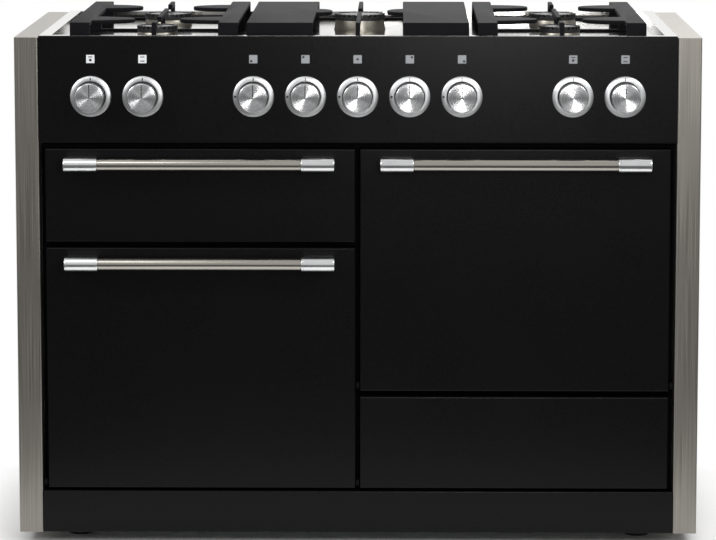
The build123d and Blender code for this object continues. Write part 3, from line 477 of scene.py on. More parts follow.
def turn(bm: BMesh, corners: Sequence[Corner], centre: Point, axis: Axis, steps: int) -> None:
    """Adds a turned shape and maps it by angle and radius.

    Args:
        bm: Mesh that takes the faces.
        corners: Its section from end to end.
        centre: Point of the axis in millimetres; its value along the axis is left out.
        axis: Line that the shape is turned about.
        steps: Faces round the shape.
    """
    layer = bm.loops.layers.uv.get("turned") or bm.loops.layers.uv.new("turned")
    across, up = [i for i in range(3) if i != axis.value]
    section = eased(corners)
    rings: list[list[BMVert]] = []
    for corner in section:
        ring = []
        for step in range(steps if corner.radius > 0 else 1):
            angle = 2 * math.pi * step / steps
            place = [0.0, 0.0, 0.0]
            place[axis.value] = corner.along * MM
            place[across] = (centre[across] + corner.radius * math.sin(angle)) * MM
            place[up] = (centre[up] + corner.radius * math.cos(angle)) * MM
            ring.append(bm.verts.new(place))
        rings.append(ring if corner.radius > 0 else ring * steps)
    for corner, after, first, second in zip(section, section[1:], rings, rings[1:]):
        for step in range(steps):
            follow = (step + 1) % steps
            around = {
                first[follow]: (step + 1, corner.radius),
                first[step]: (step, corner.radius),
                second[step]: (step, after.radius),
                second[follow]: (step + 1, after.radius),
            }
            face = bm.faces.new(list(around))
            face.material_index = corner.slot
            for loop, (number, radius) in zip(face.loops, around.values()):
                loop[layer].uv = (number / steps, radius * MM)


def bar(bm: BMesh, low: Point, high: Point, edge: float, slot: int, steps: int) -> None:
    """Adds a block with rounded edges.

    Args:
        bm: Mesh that takes the faces.
        low: Lowest corner in millimetres.
        high: Highest corner in millimetres.
        edge: Radius of the edges in millimetres.
        slot: Material slot of its faces.
        steps: Faces across each rounded edge.
    """
    size = [(b - a) * MM for a, b in zip(low, high)]
    middle = [(a + b) / 2 * MM for a, b in zip(low, high)]
    place = Matrix.Translation(middle) @ Matrix.Diagonal((*size, 1.0))
    made = bmesh.ops.create_cube(bm, size=1.0, matrix=place)
    faces = {face for vert in made["verts"] for face in vert.link_faces}
    for face in faces:
        face.material_index = slot
    edges = list({line for face in faces for line in face.edges})
    bmesh.ops.bevel(
        bm, geom=edges, offset=edge * MM, segments=steps, profile=0.5, affect="EDGES", material=slot
    )


def linked(name: str, data: ID) -> Object:
    """Adds an object to the scene.

    Args:
        name: Its name.
        data: Its mesh, lamp or camera.

    Returns:
        The object, at the origin.
    """
    made = bpy.data.objects.new(name, data)
    bpy.context.scene.collection.objects.link(made)
    return made


def piece(name: str, bm: BMesh, finishes: Sequence[Finish], body: str, *nodes: str) -> Object:
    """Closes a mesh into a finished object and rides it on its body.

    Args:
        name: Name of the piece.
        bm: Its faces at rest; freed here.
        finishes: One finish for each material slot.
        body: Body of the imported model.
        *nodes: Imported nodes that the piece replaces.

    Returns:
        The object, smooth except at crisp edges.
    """
    bmesh.ops.remove_doubles(bm, verts=bm.verts[:], dist=SAME)
    bmesh.ops.recalc_face_normals(bm, faces=bm.faces[:])
    mesh = bpy.data.meshes.new(name)
    bm.to_mesh(mesh)
    bm.free()
    for finish in finishes:
        mesh.materials.append(finish.material())
    mesh.shade_smooth()
    mesh.set_sharp_from_angle(angle=SHARP)
    made = linked(name, mesh)
    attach(made, body)
    if nodes:
        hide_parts(*nodes)
    LOG.info("%s rides on %s, %d faces", name, body, len(mesh.polygons))
    return made


def softened(node: str, edge: float, steps: int = 2, solid: int | None = None) -> BMesh:
    """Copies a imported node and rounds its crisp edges.

    Args:
        node: Name of the node.
        edge: Radius in millimetres.
        steps: Faces across each rounded edge.
        solid: Number of the only loose solid that is kept, or None for all.

    Returns:
        The copy, merged and rounded.
    """
    bm = copied(node)
    if solid is not None:
        for number, verts in enumerate(loose_solids(bm)):
            if number != solid:
                bmesh.ops.delete(bm, geom=verts, context="VERTS")
    crisp = [line for line in bm.edges if line.is_manifold and line.calc_face_angle() > SHARP]
    bmesh.ops.bevel(
        bm, geom=crisp, offset=edge * MM, segments=steps, profile=0.5, affect="EDGES", clamp_overlap=True
    )
    return bm


@dataclass
class GrowingTree:
    """A geometry tree under construction, with named inputs for its sizes."""

    name: str
    lengths: tuple[str, ...]
    counts: tuple[str, ...] = ()

    def __post_init__(self) -> None:
        """Opens the tree with its inputs and a geometry output."""
        self.tree = bpy.data.node_groups.new(self.name, "GeometryNodeTree")
        self.tree.interface.new_socket("Grown", in_out="OUTPUT", socket_type="NodeSocketGeometry")
        kinds = {"Points": "NodeSocketGeometry", "Finish": "NodeSocketMaterial"}
        kinds |= dict.fromkeys(self.lengths, "NodeSocketFloat")
        kinds |= dict.fromkeys(self.counts, "NodeSocketInt")
        self.keys = {
            name: self.tree.interface.new_socket(name, in_out="INPUT", socket_type=kind).identifier
            for name, kind in kinds.items()
        }
        self.given = put(self.tree, "NodeGroupInput")

    def __getitem__(self, name: str) -> NodeSocket:
        """Hands out one named input."""
        return self.given.outputs[name]

    def close(self, *parts: Node) -> None:
        """Joins the parts, makes them real, smooths them and sets their finish.

        Args:
            *parts: Nodes whose first output is geometry.
        """
        joined = put(self.tree, "GeometryNodeJoinGeometry")
        for part in parts:
            self.tree.links.new(part.outputs[0], joined.inputs[0])
        real = put(self.tree, "GeometryNodeRealizeInstances", {0: joined})
        smooth = put(self.tree, "GeometryNodeSetShadeSmooth", {"Geometry": real})
        finish = {"Geometry": smooth, "Material": self["Finish"]}
        put(self.tree, "NodeGroupOutput", {0: put(self.tree, "GeometryNodeSetMaterial", finish)})

    def grow(
        self,
        bm: BMesh,
        finish: Finish,
        sizes: dict[str, float | int],
        place: Point = (0.0, 0.0, 0.0),
        points: Sequence[Point] = (),
    ) -> None:
        """Runs the tree once and adds the baked result to a piece, in material slot 0.

        Args:
            bm: Mesh that takes the faces.
            finish: Finish of the grown faces.
            sizes: Named inputs; lengths, like both places below, in millimetres.
            place: Where the origin of the result goes.
            points: Places that the tree may read.
        """
        seeds = bpy.data.meshes.new(self.name)
        seeds.from_pydata([[c * MM for c in point] for point in points], [], [])
        holder = linked(self.name, seeds)
        modifier = holder.modifiers.new(self.name, "NODES")
        modifier.node_group = self.tree
        modifier[self.keys["Finish"]] = finish.material()
        for name, value in sizes.items():
            modifier[self.keys[name]] = value * MM if name in self.lengths else value
        graph = bpy.context.evaluated_depsgraph_get()
        grown = bpy.data.meshes.new_from_object(holder.evaluated_get(graph))
        grown.transform(Matrix.Translation([c * MM for c in place]))
        before = len(bm.faces)
        bm.from_mesh(grown)
        bm.faces.ensure_lookup_table()
        for face in bm.faces[before:]:
            face.material_index = 0
        bpy.data.objects.remove(holder)
        for spent in (grown, seeds):
            bpy.data.meshes.remove(spent)


def wire_grid() -> GrowingTree:
    """Draws the tree of a wire grid: a rounded frame and wires along it.

    Returns:
        The finished tree.
    """
    grid = GrowingTree("wire_grid", ("Width", "Length", "Pitch", "Wire", "Frame", "Corner"), ("Wires",))
    tree = grid.tree
    gaps = put(tree, "ShaderNodeMath", {0: grid["Wires"]}, {1: 1.0}, operation="SUBTRACT")
    whole = put(tree, "ShaderNodeMath", {0: gaps, 1: grid["Pitch"]}, operation="MULTIPLY")
    half = put(tree, "ShaderNodeMath", {0: whole}, {1: -0.5}, operation="MULTIPLY")
    start = put(tree, "ShaderNodeCombineXYZ", {"X": half})
    step = put(tree, "ShaderNodeCombineXYZ", {"X": grid["Pitch"]})
    line = {"Count": grid["Wires"], "Start Location": start, "Offset": step}
    row = put(tree, "GeometryNodeMeshLine", line)
    ends = {}
    for end, share in (("Start", -0.5), ("End", 0.5)):
        far = put(tree, "ShaderNodeMath", {0: grid["Length"]}, {1: share}, operation="MULTIPLY")
        ends[end] = put(tree, "ShaderNodeCombineXYZ", {"Y": far})
    path = put(tree, "GeometryNodeCurvePrimitiveLine", ends)
    sides = {"Resolution": WIRE_SIDES}
    thin = put(tree, "GeometryNodeCurvePrimitiveCircle", {"Radius": grid["Wire"]}, sides)
    round_wire = {"Curve": path, "Profile Curve": thin}
    wire = put(tree, "GeometryNodeCurveToMesh", round_wire, {"Fill Caps": True})
    wires = put(tree, "GeometryNodeInstanceOnPoints", {"Points": row, "Instance": wire})
    reach = {"Width": grid["Width"], "Height": grid["Length"]}
    border = put(tree, "GeometryNodeCurvePrimitiveQuadrilateral", reach)
    bend = {"Curve": border, "Radius": grid["Corner"]}
    bent = put(tree, "GeometryNodeFilletCurve", bend, {"Count": BEND_STEPS}, mode="POLY")
    sides = {"Resolution": FRAME_SIDES}
    thick = put(tree, "GeometryNodeCurvePrimitiveCircle", {"Radius": grid["Frame"]}, sides)
    rim = put(tree, "GeometryNodeCurveToMesh", {"Curve": bent, "Profile Curve": thick})
    grid.close(wires, rim)
    return grid


def tooth_ring() -> GrowingTree:
    """Draws the tree of a ring of upright teeth round a burner crown.

    Returns:
        The finished tree.
    """
    ring = GrowingTree("tooth_ring", ("Radius", "Deep", "Wide", "High"), ("Teeth",))
    tree = ring.tree
    places = {"Vertices": ring["Teeth"], "Radius": ring["Radius"]}
    circle = put(tree, "GeometryNodeMeshCircle", places)
    sides = {"X": ring["Deep"], "Y": ring["Wide"], "Z": ring["High"]}
    tooth = put(tree, "GeometryNodeMeshCube", {"Size": put(tree, "ShaderNodeCombineXYZ", sides)})
    outward = put(tree, "GeometryNodeInputPosition")
    facing = put(tree, "FunctionNodeAlignRotationToVector", {"Vector": outward}, axis="X", pivot_axis="Z")
    spread = {"Points": circle, "Instance": tooth, "Rotation": facing}
    ring.close(put(tree, "GeometryNodeInstanceOnPoints", spread))
    return ring


def screw_heads() -> GrowingTree:
    """Draws the tree of pan heads with a cross recess, facing the rear.

    Returns:
        The finished tree.
    """
    heads = GrowingTree("screw_heads", ("Radius", "High", "Slot"))
    tree = heads.tree
    round_head = {"Radius": heads["Radius"], "Depth": heads["High"]}
    disc = put(tree, "GeometryNodeMeshCylinder", round_head, {"Vertices": HEAD_SIDES})
    exact = {"operation": "DIFFERENCE", "solver": "EXACT"}
    head = put(tree, "GeometryNodeMeshBoolean", {"Mesh 1": disc}, {"Self Intersection": True}, **exact)
    lift = put(tree, "ShaderNodeCombineXYZ", {"Z": heads["Slot"]})
    for long, wide in (("Radius", "Slot"), ("Slot", "Radius")):
        sides = {"X": heads[long], "Y": heads[wide], "Z": heads["High"]}
        block = put(tree, "GeometryNodeMeshCube", {"Size": put(tree, "ShaderNodeCombineXYZ", sides)})
        lifted = put(tree, "GeometryNodeTransform", {"Geometry": block, "Translation": lift})
        tree.links.new(lifted.outputs[0], head.inputs["Mesh 2"])
    to_rear = {"Rotation": (math.radians(-90), 0.0, 0.0)}
    turned = put(tree, "GeometryNodeTransform", {"Geometry": head}, to_rear)
    heads.close(put(tree, "GeometryNodeInstanceOnPoints", {"Points": heads["Points"], "Instance": turned}))
    return heads


def vent_hoods() -> GrowingTree:
    """Draws the tree of pressed hoods over the rear vent slots.

    Returns:
        The finished tree.
    """
    hoods = GrowingTree("vent_hoods", ("Width", "High", "Proud"))
    tree = hoods.tree
    unit = {"Segments": HOOD_SIDES, "Rings": HOOD_RINGS, "Radius": 0.5}
    ball = put(tree, "GeometryNodeMeshUVSphere", None, unit)
    sides = {"X": hoods["Width"], "Y": hoods["Proud"], "Z": hoods["High"]}
    size = put(tree, "ShaderNodeCombineXYZ", sides)
    hood = put(tree, "GeometryNodeTransform", {"Geometry": ball, "Scale": size})
    hoods.close(put(tree, "GeometryNodeInstanceOnPoints", {"Points": hoods["Points"], "Instance": hood}))
    return hoods


@dataclass
class Cabinet:
    """The sheet-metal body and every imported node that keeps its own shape."""

    finishes: tuple[tuple[Finish, tuple[str, ...]], ...] = (
        (BRUSHED_STEEL, ("side_panel_left", "side_panel_right")),
        (HOB_STEEL, ("hob_plate",)),
        (BLACK_ENAMEL, ("control_panel", "plinth", "grill_front", "drawer_front")),
        (BLACK_ENAMEL, ("oven_door_left", "oven_door_right")),
        # Frame and hinge lugs in soot black: painted shade in the gaps between the fronts.
        (GROUND_ENAMEL_GAP_SHADE, ("front_frame", "hinge_lugs")),
        (OVEN_ENAMEL, ("oven_liners", "grill_liner", "fan_covers")),
        (OVEN_ENAMEL, ("oven_door_inner_left", "oven_door_inner_right")),
        (GALVANISED, ("base_tray", "back_panel", "drawer_box", "grill_carriage")),
        (GALVANISED, ("runner_rails", "grill_rails_mid")),
        (GALVANISED, ("fan_motors", "oven_fan_left", "oven_fan_right")),
        (BRASS, ("gas_taps",) + tuple(f"tap_spindle_{n}" for n in range(1, 6))),
        (BURNER_ALLOY, ("burner_bases",)),
        (WIRE_PLATE, ("gas_pipework",)),
        (BLACK_PLASTIC_AND_SHADE, ("oven_switches", "cable_housing")),
        (PORCELAIN, ("ignition_probes",)),
    )

    def dress(self) -> None:
        """Gives each kept node its finish."""
        for finish, nodes in self.finishes:
            for node in nodes:
                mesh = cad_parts[node].data
                mesh.materials.clear()
                mesh.materials.append(finish.material())
                LOG.info("%s keeps its shape, %s", node, finish.name)


@dataclass
class Controls:
    """Nine knobs on round bezels, with printed signs above them."""

    gas: tuple[str, ...] = tuple(f"gas_knob_{n}" for n in range(1, 6))
    ovens: tuple[str, ...] = tuple(f"oven_knob_{n}" for n in range(1, 5))
    bore_fit: float = 0.1  # round a tap spindle
    bore_past: float = 1.0  # beyond its end
    back_edge: float = 3.0  # rounding at the back of a knob
    face_edge: float = 1.9  # and round its face
    cap_edge: float = 3.0  # bright edge of the metal cap on the black body, whose black is painted shade on the side of the knob
    dish: float = 0.3  # hollow of the face
    dish_rings: tuple[float, ...] = (0.7, 0.45, 0.2, 0.0)  # shares of the radius
    pointer: float = 1.4
    pointer_proud: float = 0.14
    hole: float = 6.0  # radius of a bezel's hole
    recess: float = 1.2  # ring of a bezel round its knob, wide and deep, painted black as shade
    recess_edge: float = 0.5
    slant: tuple[float, float] = (4.0, 2.0)  # rim of a bezel, wide and deep
    slant_edges: tuple[float, float] = (3.0, 1.4)  # roundings inside and outside it
    mark: float = 1.6
    mark_in: tuple[float, float] = (1.3, 2.6)  # from the black ring and from the rim
    dot: float = 2.0
    dot_in: float = 4.2  # dots inside the rim of a bezel
    sign: float = 14.5
    sign_off: float = 1 / 4  # marks off the middle, and their sizes, as shares of a sign
    sign_line: tuple[float, float] = (1 / 2, 1 / 9)
    burner_spot: float = 1 / 7
    oven_spot: float = 1 / 6
    sign_up: float = 65.5  # signs above the knob axes
    print_proud: float = 0.1
    print_in: float = 0.4
    print_edge: float = 0.03
    steps: int = 96
    spot_steps: int = 20

    def __post_init__(self) -> None:
        """Reads the sizes that all knobs share from the frame."""
        knob, spindle = measured(self.gas[0]), measured("tap_spindle_1")
        self.face, self.back = knob.low[1], knob.high[1]
        self.radius = knob.size(Axis.X) / 2
        self.height = knob.middle[2]
        self.stem = spindle.size(Axis.X) / 2
        self.stem_end = measured(self.ovens[0]).high[1]
        self.bore_end = spindle.low[1] - self.bore_past
        self.panel = measured("control_panel").low[1]
        self.x = {node: measured(node).middle[0] for node in self.gas + self.ovens}

    def dished(self, share: float) -> float:
        """Gives the place of the hollow face at a share of its radius."""
        return self.face + self.dish * (1 - share**2)

    def knob(self, x: float, bored: bool) -> BMesh:
        """Turns one knob and fills its pointer line.

        Args:
            x: Middle of the knob.
            bored: True for a knob that sits on a tap spindle.

        Returns:
            Its faces: cap in slot 0, pointer in slot 1 and body in slot 2, whose black side is painted
                shade.
        """
        bm = bmesh.new()
        inner = self.bore_end if bored else self.stem_end
        core = self.stem + self.bore_fit if bored else self.stem
        # The body and its side up to the cap's edge are black: painted shade on the side of the knob.
        section = [
            Corner(0.0, inner, slot=2),
            Corner(core, inner, slot=2),
            Corner(core, self.back, slot=2),
            Corner(self.radius, self.back, self.back_edge, slot=2),
            Corner(self.radius, self.face + self.cap_edge),
            Corner(self.radius, self.face, self.face_edge),
        ]
        section += [Corner(self.radius * share, self.dished(share)) for share in self.dish_rings]
        turn(bm, section, (x, 0.0, self.height), Axis.Y, self.steps)
        self.fill_pointer(bm, x)
        return bm

    def fill_pointer(self, bm: BMesh, x: float) -> None:
        """Lays the black pointer line over the face, from the middle to the rim.

        Args:
            bm: Knob that takes the line.
            x: Middle of the knob.
        """
        half, out, deep = self.pointer / 2, -self.pointer_proud, self.print_in
        rows = []
        for share in (*reversed(self.dish_rings), 1 - self.face_edge / self.radius):
            y, z = self.dished(share), self.height + self.radius * share
            ring = ((x - half, y + out), (x + half, y + out), (x + half, y + deep), (x - half, y + deep))
            rows.append([bm.verts.new((across * MM, along * MM, z * MM)) for across, along in ring])
        for first, second in zip(rows, rows[1:]):
            for i in range(4):
                j = (i + 1) % 4
                bm.faces.new((first[i], first[j], second[j], second[i])).material_index = 1
        for ends in (rows[0], rows[-1]):
            bm.faces.new(ends).material_index = 1

    def bezels(self) -> BMesh:
        """Turns the nine bezels with their marks.

        Returns:
            Their faces: metal in slot 0; in slot 1 the black marks, and the black of the recess, which is
                painted shade.
        """
        bm = bmesh.new()
        for box in measured_each("knob_bezels"):
            x, _, z = box.middle
            front, back, r = box.low[1], box.high[1], box.size(Axis.X) / 2
            ring, floor = self.radius + self.recess, front + self.recess
            # The hole and the recess take slot 1: black that is painted shade round the knob.
            section = [
                Corner(self.hole, back, slot=1),
                Corner(self.hole, floor, slot=1),
                Corner(ring, floor, slot=1),
                Corner(ring, front, self.recess_edge),
                Corner(r - self.slant[0], front, self.slant_edges[0]),
                Corner(r, front + self.slant[1], self.slant_edges[1]),
                Corner(r, back),
                Corner(self.hole, back),
            ]
            turn(bm, section, (x, 0.0, z), Axis.Y, self.steps)
            size = (self.mark, r - ring - sum(self.mark_in))
            middle = z + (ring + self.mark_in[0] + r - self.mark_in[1]) / 2
            self.strip(bm, (x, front, middle), size, 1, 1)
            if min(abs(x - self.x[node]) for node in self.gas) < self.radius:
                self.spot(bm, (x - r + self.dot_in, front, z), self.dot, 1)
        return bm

    def strip(self, bm: BMesh, place: Point, size: tuple[float, float], layer: int, slot: int) -> None:
        """Prints one flat strip.

        Args:
            bm: Mesh that takes the faces.
            place: Its middle, on the surface that is printed.
            size: Its width and height.
            layer: 1 on the surface, 2 on another print.
            slot: Material slot.
        """
        x, y, z = place
        wide, high = (length / 2 for length in size)
        low = (x - wide, y - layer * self.print_proud, z - high)
        bar(bm, low, (x + wide, y + self.print_in, z + high), self.print_edge, slot, steps=1)

    def spot(self, bm: BMesh, place: Point, radius: float, layer: int) -> None:
        """Prints one round black spot.

        Args:
            bm: Mesh that takes the faces.
            place: Its middle, on the surface that is printed.
            radius: Its radius.
            layer: 1 on the surface, 2 on another print.
        """
        front, back = place[1] - layer * self.print_proud, place[1] + self.print_in
        ends = ((0.0, front), (radius, front), (radius, back), (0.0, back))
        turn(bm, [Corner(*end, slot=1) for end in ends], place, Axis.Y, self.spot_steps)

    def signs(self) -> BMesh:
        """Prints a pale sign above each knob: a burner's place, or bars for an oven.

        Returns:
            Their faces: grey in slot 0, black in slot 1, white in slot 2.
        """
        bm = bmesh.new()
        y, z, off = self.panel, self.height + self.sign_up, self.sign * self.sign_off
        wide, high = self.sign_line
        square, line = (self.sign, self.sign), (self.sign * wide, self.sign * high)
        spots = ((-off, -off), (-off, off), (0.0, 0.0), (off, off), (off, -off))
        for node, (dx, dz) in zip(self.gas, spots):
            x = self.x[node]
            self.strip(bm, (x, y, z), square, 1, 0)
            self.spot(bm, (x + dx, y, z + dz), self.sign * self.burner_spot, 2)
        for number, node in enumerate(self.ovens):
            x = self.x[node]
            self.strip(bm, (x, y, z), square, 1, 2 if x < 0 else 0)
            self.strip(bm, (x, y, z + off), line, 2, 1)
            if number % 2:
                self.strip(bm, (x, y, z - off), line, 2, 1)
            else:
                self.spot(bm, (x, y, z - off / 2), self.sign * self.oven_spot, 2)
        return bm

    def build(self) -> None:
        """Builds and dresses knobs, bezels and signs."""
        for node in self.gas + self.ovens:
            faces = self.knob(self.x[node], node in self.gas)
            piece(f"spun_{node}", faces, (SPUN_ALUMINIUM, BLACK_PAINT_AND_SHADE, BLACK_PLASTIC_AND_SHADE), node, node)
        metal, prints = (BLASTED_ALUMINIUM, BLACK_PAINT_AND_SHADE), (GREY_PRINT, BLACK_PAINT_AND_SHADE, WHITE_PRINT)
        piece("turned_bezels", self.bezels(), metal, "cabinet", "knob_bezels")
        piece("printed_signs", self.signs(), prints, "cabinet")


@dataclass
class Handles:
    """Three round bars between plated sleeves on short brackets."""

    bodies: tuple[tuple[str, str], ...] = (
        ("oven_handle_left", "oven_door_left"),
        ("oven_handle_right", "oven_door_right"),
        ("grill_handle", "grill"),
    )
    bar_in: float = 2.0  # bar thinner than its sleeves, in radius
    sleeve: float = 58.0
    sleeve_edges: tuple[float, float] = (1.6, 0.9)  # roundings at its outer and inner end
    root: float = 0.5  # turned step where the bar leaves a sleeve
    groove_in: float = 4.0  # turned grooves inside the ends of a sleeve
    groove: float = 0.7
    bracket_in: float = 3.0
    bracket_high: float = 22.0
    bracket_edge: float = 1.5
    bracket_steps: int = 3
    steps: int = 48

    def handle(self, box: Box) -> BMesh:
        """Turns one handle and sets it on its brackets.

        Args:
            box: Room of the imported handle.

        Returns:
            Its faces, bar in slot 0 and sleeves in slot 1.
        """
        bm = bmesh.new()
        x, _, z = box.middle
        thick = box.size(Axis.Z) / 2
        r, axis_y, face = thick - self.bar_in, box.low[1] + thick, box.high[1]
        end, inner = box.size(Axis.X) / 2, box.size(Axis.X) / 2 - self.sleeve
        root = Corner(r - self.root, 2 * self.root - inner)
        left = [Corner(0.0, -end, slot=1), Corner(thick, -end, self.sleeve_edges[0], slot=1)]
        for cut in (self.groove_in - end, -inner - self.groove_in):
            for depth, step in ((0.0, -0.5), (self.groove, 0.0), (0.0, 0.5)):
                left.append(Corner(thick - depth, cut + step * self.groove, slot=1))
        left.append(Corner(thick, -inner, self.sleeve_edges[1], slot=1))
        left += [replace(root, along=-inner), root, Corner(r, root.along + self.root)]
        slots = [corner.slot for corner in left]
        right = [
            replace(corner, along=-corner.along, slot=slot)
            for corner, slot in zip(left[::-1], slots[-2::-1] + slots[:1])
        ]
        section = [replace(corner, along=x + corner.along) for corner in left + right]
        turn(bm, section, (0.0, axis_y, z), Axis.X, self.steps)
        high, edge, steps = self.bracket_high / 2, self.bracket_edge, self.bracket_steps
        for side in (-1, 1):
            ends = (end - self.bracket_in, inner + self.bracket_in)
            first, second = sorted(x + side * far for far in ends)
            bar(bm, (first, axis_y, z - high), (second, face, z + high), edge, 1, steps)
        return bm

    def build(self) -> list[Object]:
        """Builds and dresses the three handles.

        Returns:
            The handles.
        """
        return [
            piece(f"brushed_{node}", self.handle(measured(node)), (BRUSHED_BAR, CHROME), body, node)
            for node, body in self.bodies
        ]


@dataclass
class Hob:
    """Pan supports, burner crowns and caps on the steel deck."""

    cap_high: float = 5.0
    cap_gap: float = 0.2  # cap inside the teeth
    teeth: int = 24
    tooth: float = 0.6  # share of the pitch
    tooth_sunk: float = 0.6  # teeth let into the crown
    crown: float = 11.0  # dark ring with the teeth
    crown_edges: tuple[float, float] = (1.2, 0.4)  # roundings below and above
    foot: float = 2.0  # upright edge of a burner body
    waist: float = 1.6  # body inside its crown
    cap_edge: float = 1.6
    dome: float = 0.2
    dome_rings: tuple[float, ...] = (0.6, 0.0)  # shares of the radius
    cast_edge: float = 1.6
    cast_steps: int = 3
    steps: int = 72

    def crowns(self) -> BMesh:
        """Turns the burner bodies and grows the teeth of their crowns.

        Returns:
            Their faces: crowns in slot 0, bodies in slot 1.
        """
        bm = bmesh.new()
        ring = tooth_ring()
        caps = measured_each("burner_caps")
        for box, cap in zip(measured_each("burner_heads"), caps):
            r, inner = box.size(Axis.X) / 2, cap.size(Axis.X) / 2
            top, low = box.high[2], box.low[2]
            seat, joint = top - self.cap_high, top - self.crown
            section = [
                Corner(0.0, low, slot=1),
                Corner(r, low, slot=1),
                Corner(r, low + self.foot, slot=1),
                Corner(r - self.waist, joint),
                Corner(r, joint, self.crown_edges[0]),
                Corner(r, seat, self.crown_edges[1]),
                Corner(0.0, seat),
            ]
            turn(bm, section, box.middle, Axis.Z, self.steps)
            high = self.cap_high + self.tooth_sunk
            sizes = {
                "Radius": (r + inner) / 2,
                "Deep": r - inner,
                "Wide": 2 * math.pi * r / self.teeth * self.tooth,
                "High": high,
                "Teeth": self.teeth,
            }
            x, y, _ = box.middle
            ring.grow(bm, BURNER_METAL, sizes, (x, y, top - high / 2))
        return bm

    def caps(self) -> BMesh:
        """Turns the domed caps.

        Returns:
            Their faces.
        """
        bm = bmesh.new()
        for box in measured_each("burner_caps"):
            top, low, r = box.high[2], box.low[2], box.size(Axis.X) / 2 - self.cap_gap
            section = [Corner(0.0, low), Corner(r, low), Corner(r, top - self.dome, self.cap_edge)]
            section += [Corner(r * share, top - self.dome * share**2) for share in self.dome_rings]
            turn(bm, section, box.middle, Axis.Z, self.steps)
        return bm

    def build(self) -> None:
        """Builds and dresses everything that stands on the deck."""
        for side in ("left", "middle", "right"):
            node = f"pan_support_{side}"
            faces = softened(node, self.cast_edge, self.cast_steps)
            piece(f"cast_{node}", faces, (CAST_IRON,), node, node)
        heads = (BURNER_METAL, BURNER_ALLOY)
        piece("burner_crowns", self.crowns(), heads, "cabinet", "burner_heads")
        piece("enamelled_burner_caps", self.caps(), (CAP_ENAMEL,), "cabinet", "burner_caps")


@dataclass
class OvenFittings:
    """Wire racks, the grill pan with its trivet, the element, the door seals and the feet."""

    wire: float = 1.4  # radius
    pitch: float = 22.0
    corner: float = 14.0
    sheet_edge: float = 0.4  # roundings of the pan, the element, the seals and the feet
    element_edge: float = 0.3
    seal_edge: float = 1.5
    foot_edge: float = 1.0

    def grids(self, boxes: Iterable[Box]) -> BMesh:
        """Grows one wire grid in each box; its frame is as thick as the box.

        Args:
            boxes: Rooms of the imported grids.

        Returns:
            Their faces.
        """
        bm = bmesh.new()
        tree = wire_grid()
        for box in boxes:
            wide, long, thick = (box.size(axis) for axis in Axis)
            sizes = {
                "Width": wide - thick,
                "Length": long - thick,
                "Pitch": self.pitch,
                "Wires": int((wide - thick) / self.pitch),
                "Wire": min(self.wire, thick / 2),
                "Frame": thick / 2,
                "Corner": self.corner,
            }
            tree.grow(bm, WIRE_PLATE, sizes, box.middle)
        return bm

    def build(self) -> None:
        """Builds and dresses the fittings."""
        racks = self.grids(measured_each("oven_racks"))
        piece("wire_racks", racks, (WIRE_PLATE,), "cabinet", "oven_racks")
        boxes = measured_each("grill_pan")
        shallow = min(range(len(boxes)), key=lambda number: boxes[number].size(Axis.Z))
        piece("wire_trivet", self.grids([boxes[shallow]]), (WIRE_PLATE,), "grill")
        pan = softened("grill_pan", self.sheet_edge, solid=1 - shallow)
        piece("pressed_grill_pan", pan, (OVEN_ENAMEL,), "grill", "grill_pan")
        for name, node, finish, edge in (
            ("bent_grill_element", "grill_element", BURNER_METAL, self.element_edge),
            ("soft_oven_seals", "oven_seals", GASKET, self.seal_edge),
            ("turned_feet", "levelling_feet", BLACK_PLASTIC_AND_SHADE, self.foot_edge),
        ):
            piece(name, softened(node, edge), (finish,), "cabinet", node)


@dataclass
class Rear:
    """Screws and pressed vent hoods on the back panel."""

    head: float = 2.4
    slot: float = 1.0
    vents: int = 14  # in each row
    vent_rows: int = 2
    vent_pitch: float = 60.0
    vent_drop: float = 0.5  # middles of the upper hoods below the top of the doors
    vent_step: float = 40.0
    hood: Point = (44.0, 8.0, 9.0)  # wide, deep with half of it in the sheet, and high

    def build(self) -> None:
        """Grows and dresses screws and hoods."""
        boxes = measured_each("back_screws")
        points = [(box.middle[0], box.high[1] - self.head / 2, box.middle[2]) for box in boxes]
        sizes = {"Radius": boxes[0].size(Axis.X) / 2, "High": self.head, "Slot": self.slot}
        screws = bmesh.new()
        screw_heads().grow(screws, WIRE_PLATE, sizes, points=points)
        piece("cross_head_screws", screws, (WIRE_PLATE,), "cabinet", "back_screws")
        sheet, top = measured("back_panel").high[1], measured("oven_door_right").high[2]
        first = -(self.vents - 1) / 2 * self.vent_pitch
        slots = [
            (first + i * self.vent_pitch, sheet, top - self.vent_drop - row * self.vent_step)
            for i in range(self.vents)
            for row in range(self.vent_rows)
        ]
        hoods = bmesh.new()
        sizes = dict(zip(("Width", "Proud", "High"), self.hood))
        vent_hoods().grow(hoods, GALVANISED, sizes, points=slots)
        piece("pressed_vent_hoods", hoods, (GALVANISED,), "cabinet")


@dataclass(frozen=True)
class Lamp:
    """A soft lamp: its place and the sides of its diffuser in metres, and its watts."""

    name: str
    place: Point
    wide: float
    high: float
    watts: float
    aim: float = 0.5  # height that it looks at, over the middle of the floor

    def hang(self) -> Object:
        """Hangs the lamp and turns it to the cooker.

        Returns:
            The lamp.
        """
        data = bpy.data.lights.new(self.name, "AREA")
        data.shape = "RECTANGLE"
        data.size, data.size_y, data.energy = self.wide, self.high, self.watts
        made = linked(self.name, data)
        made.location = self.place
        aim = Vector((0.0, 0.0, self.aim)) - Vector(self.place)
        made.rotation_euler = aim.to_track_quat("-Z", "Y").to_euler()
        return made


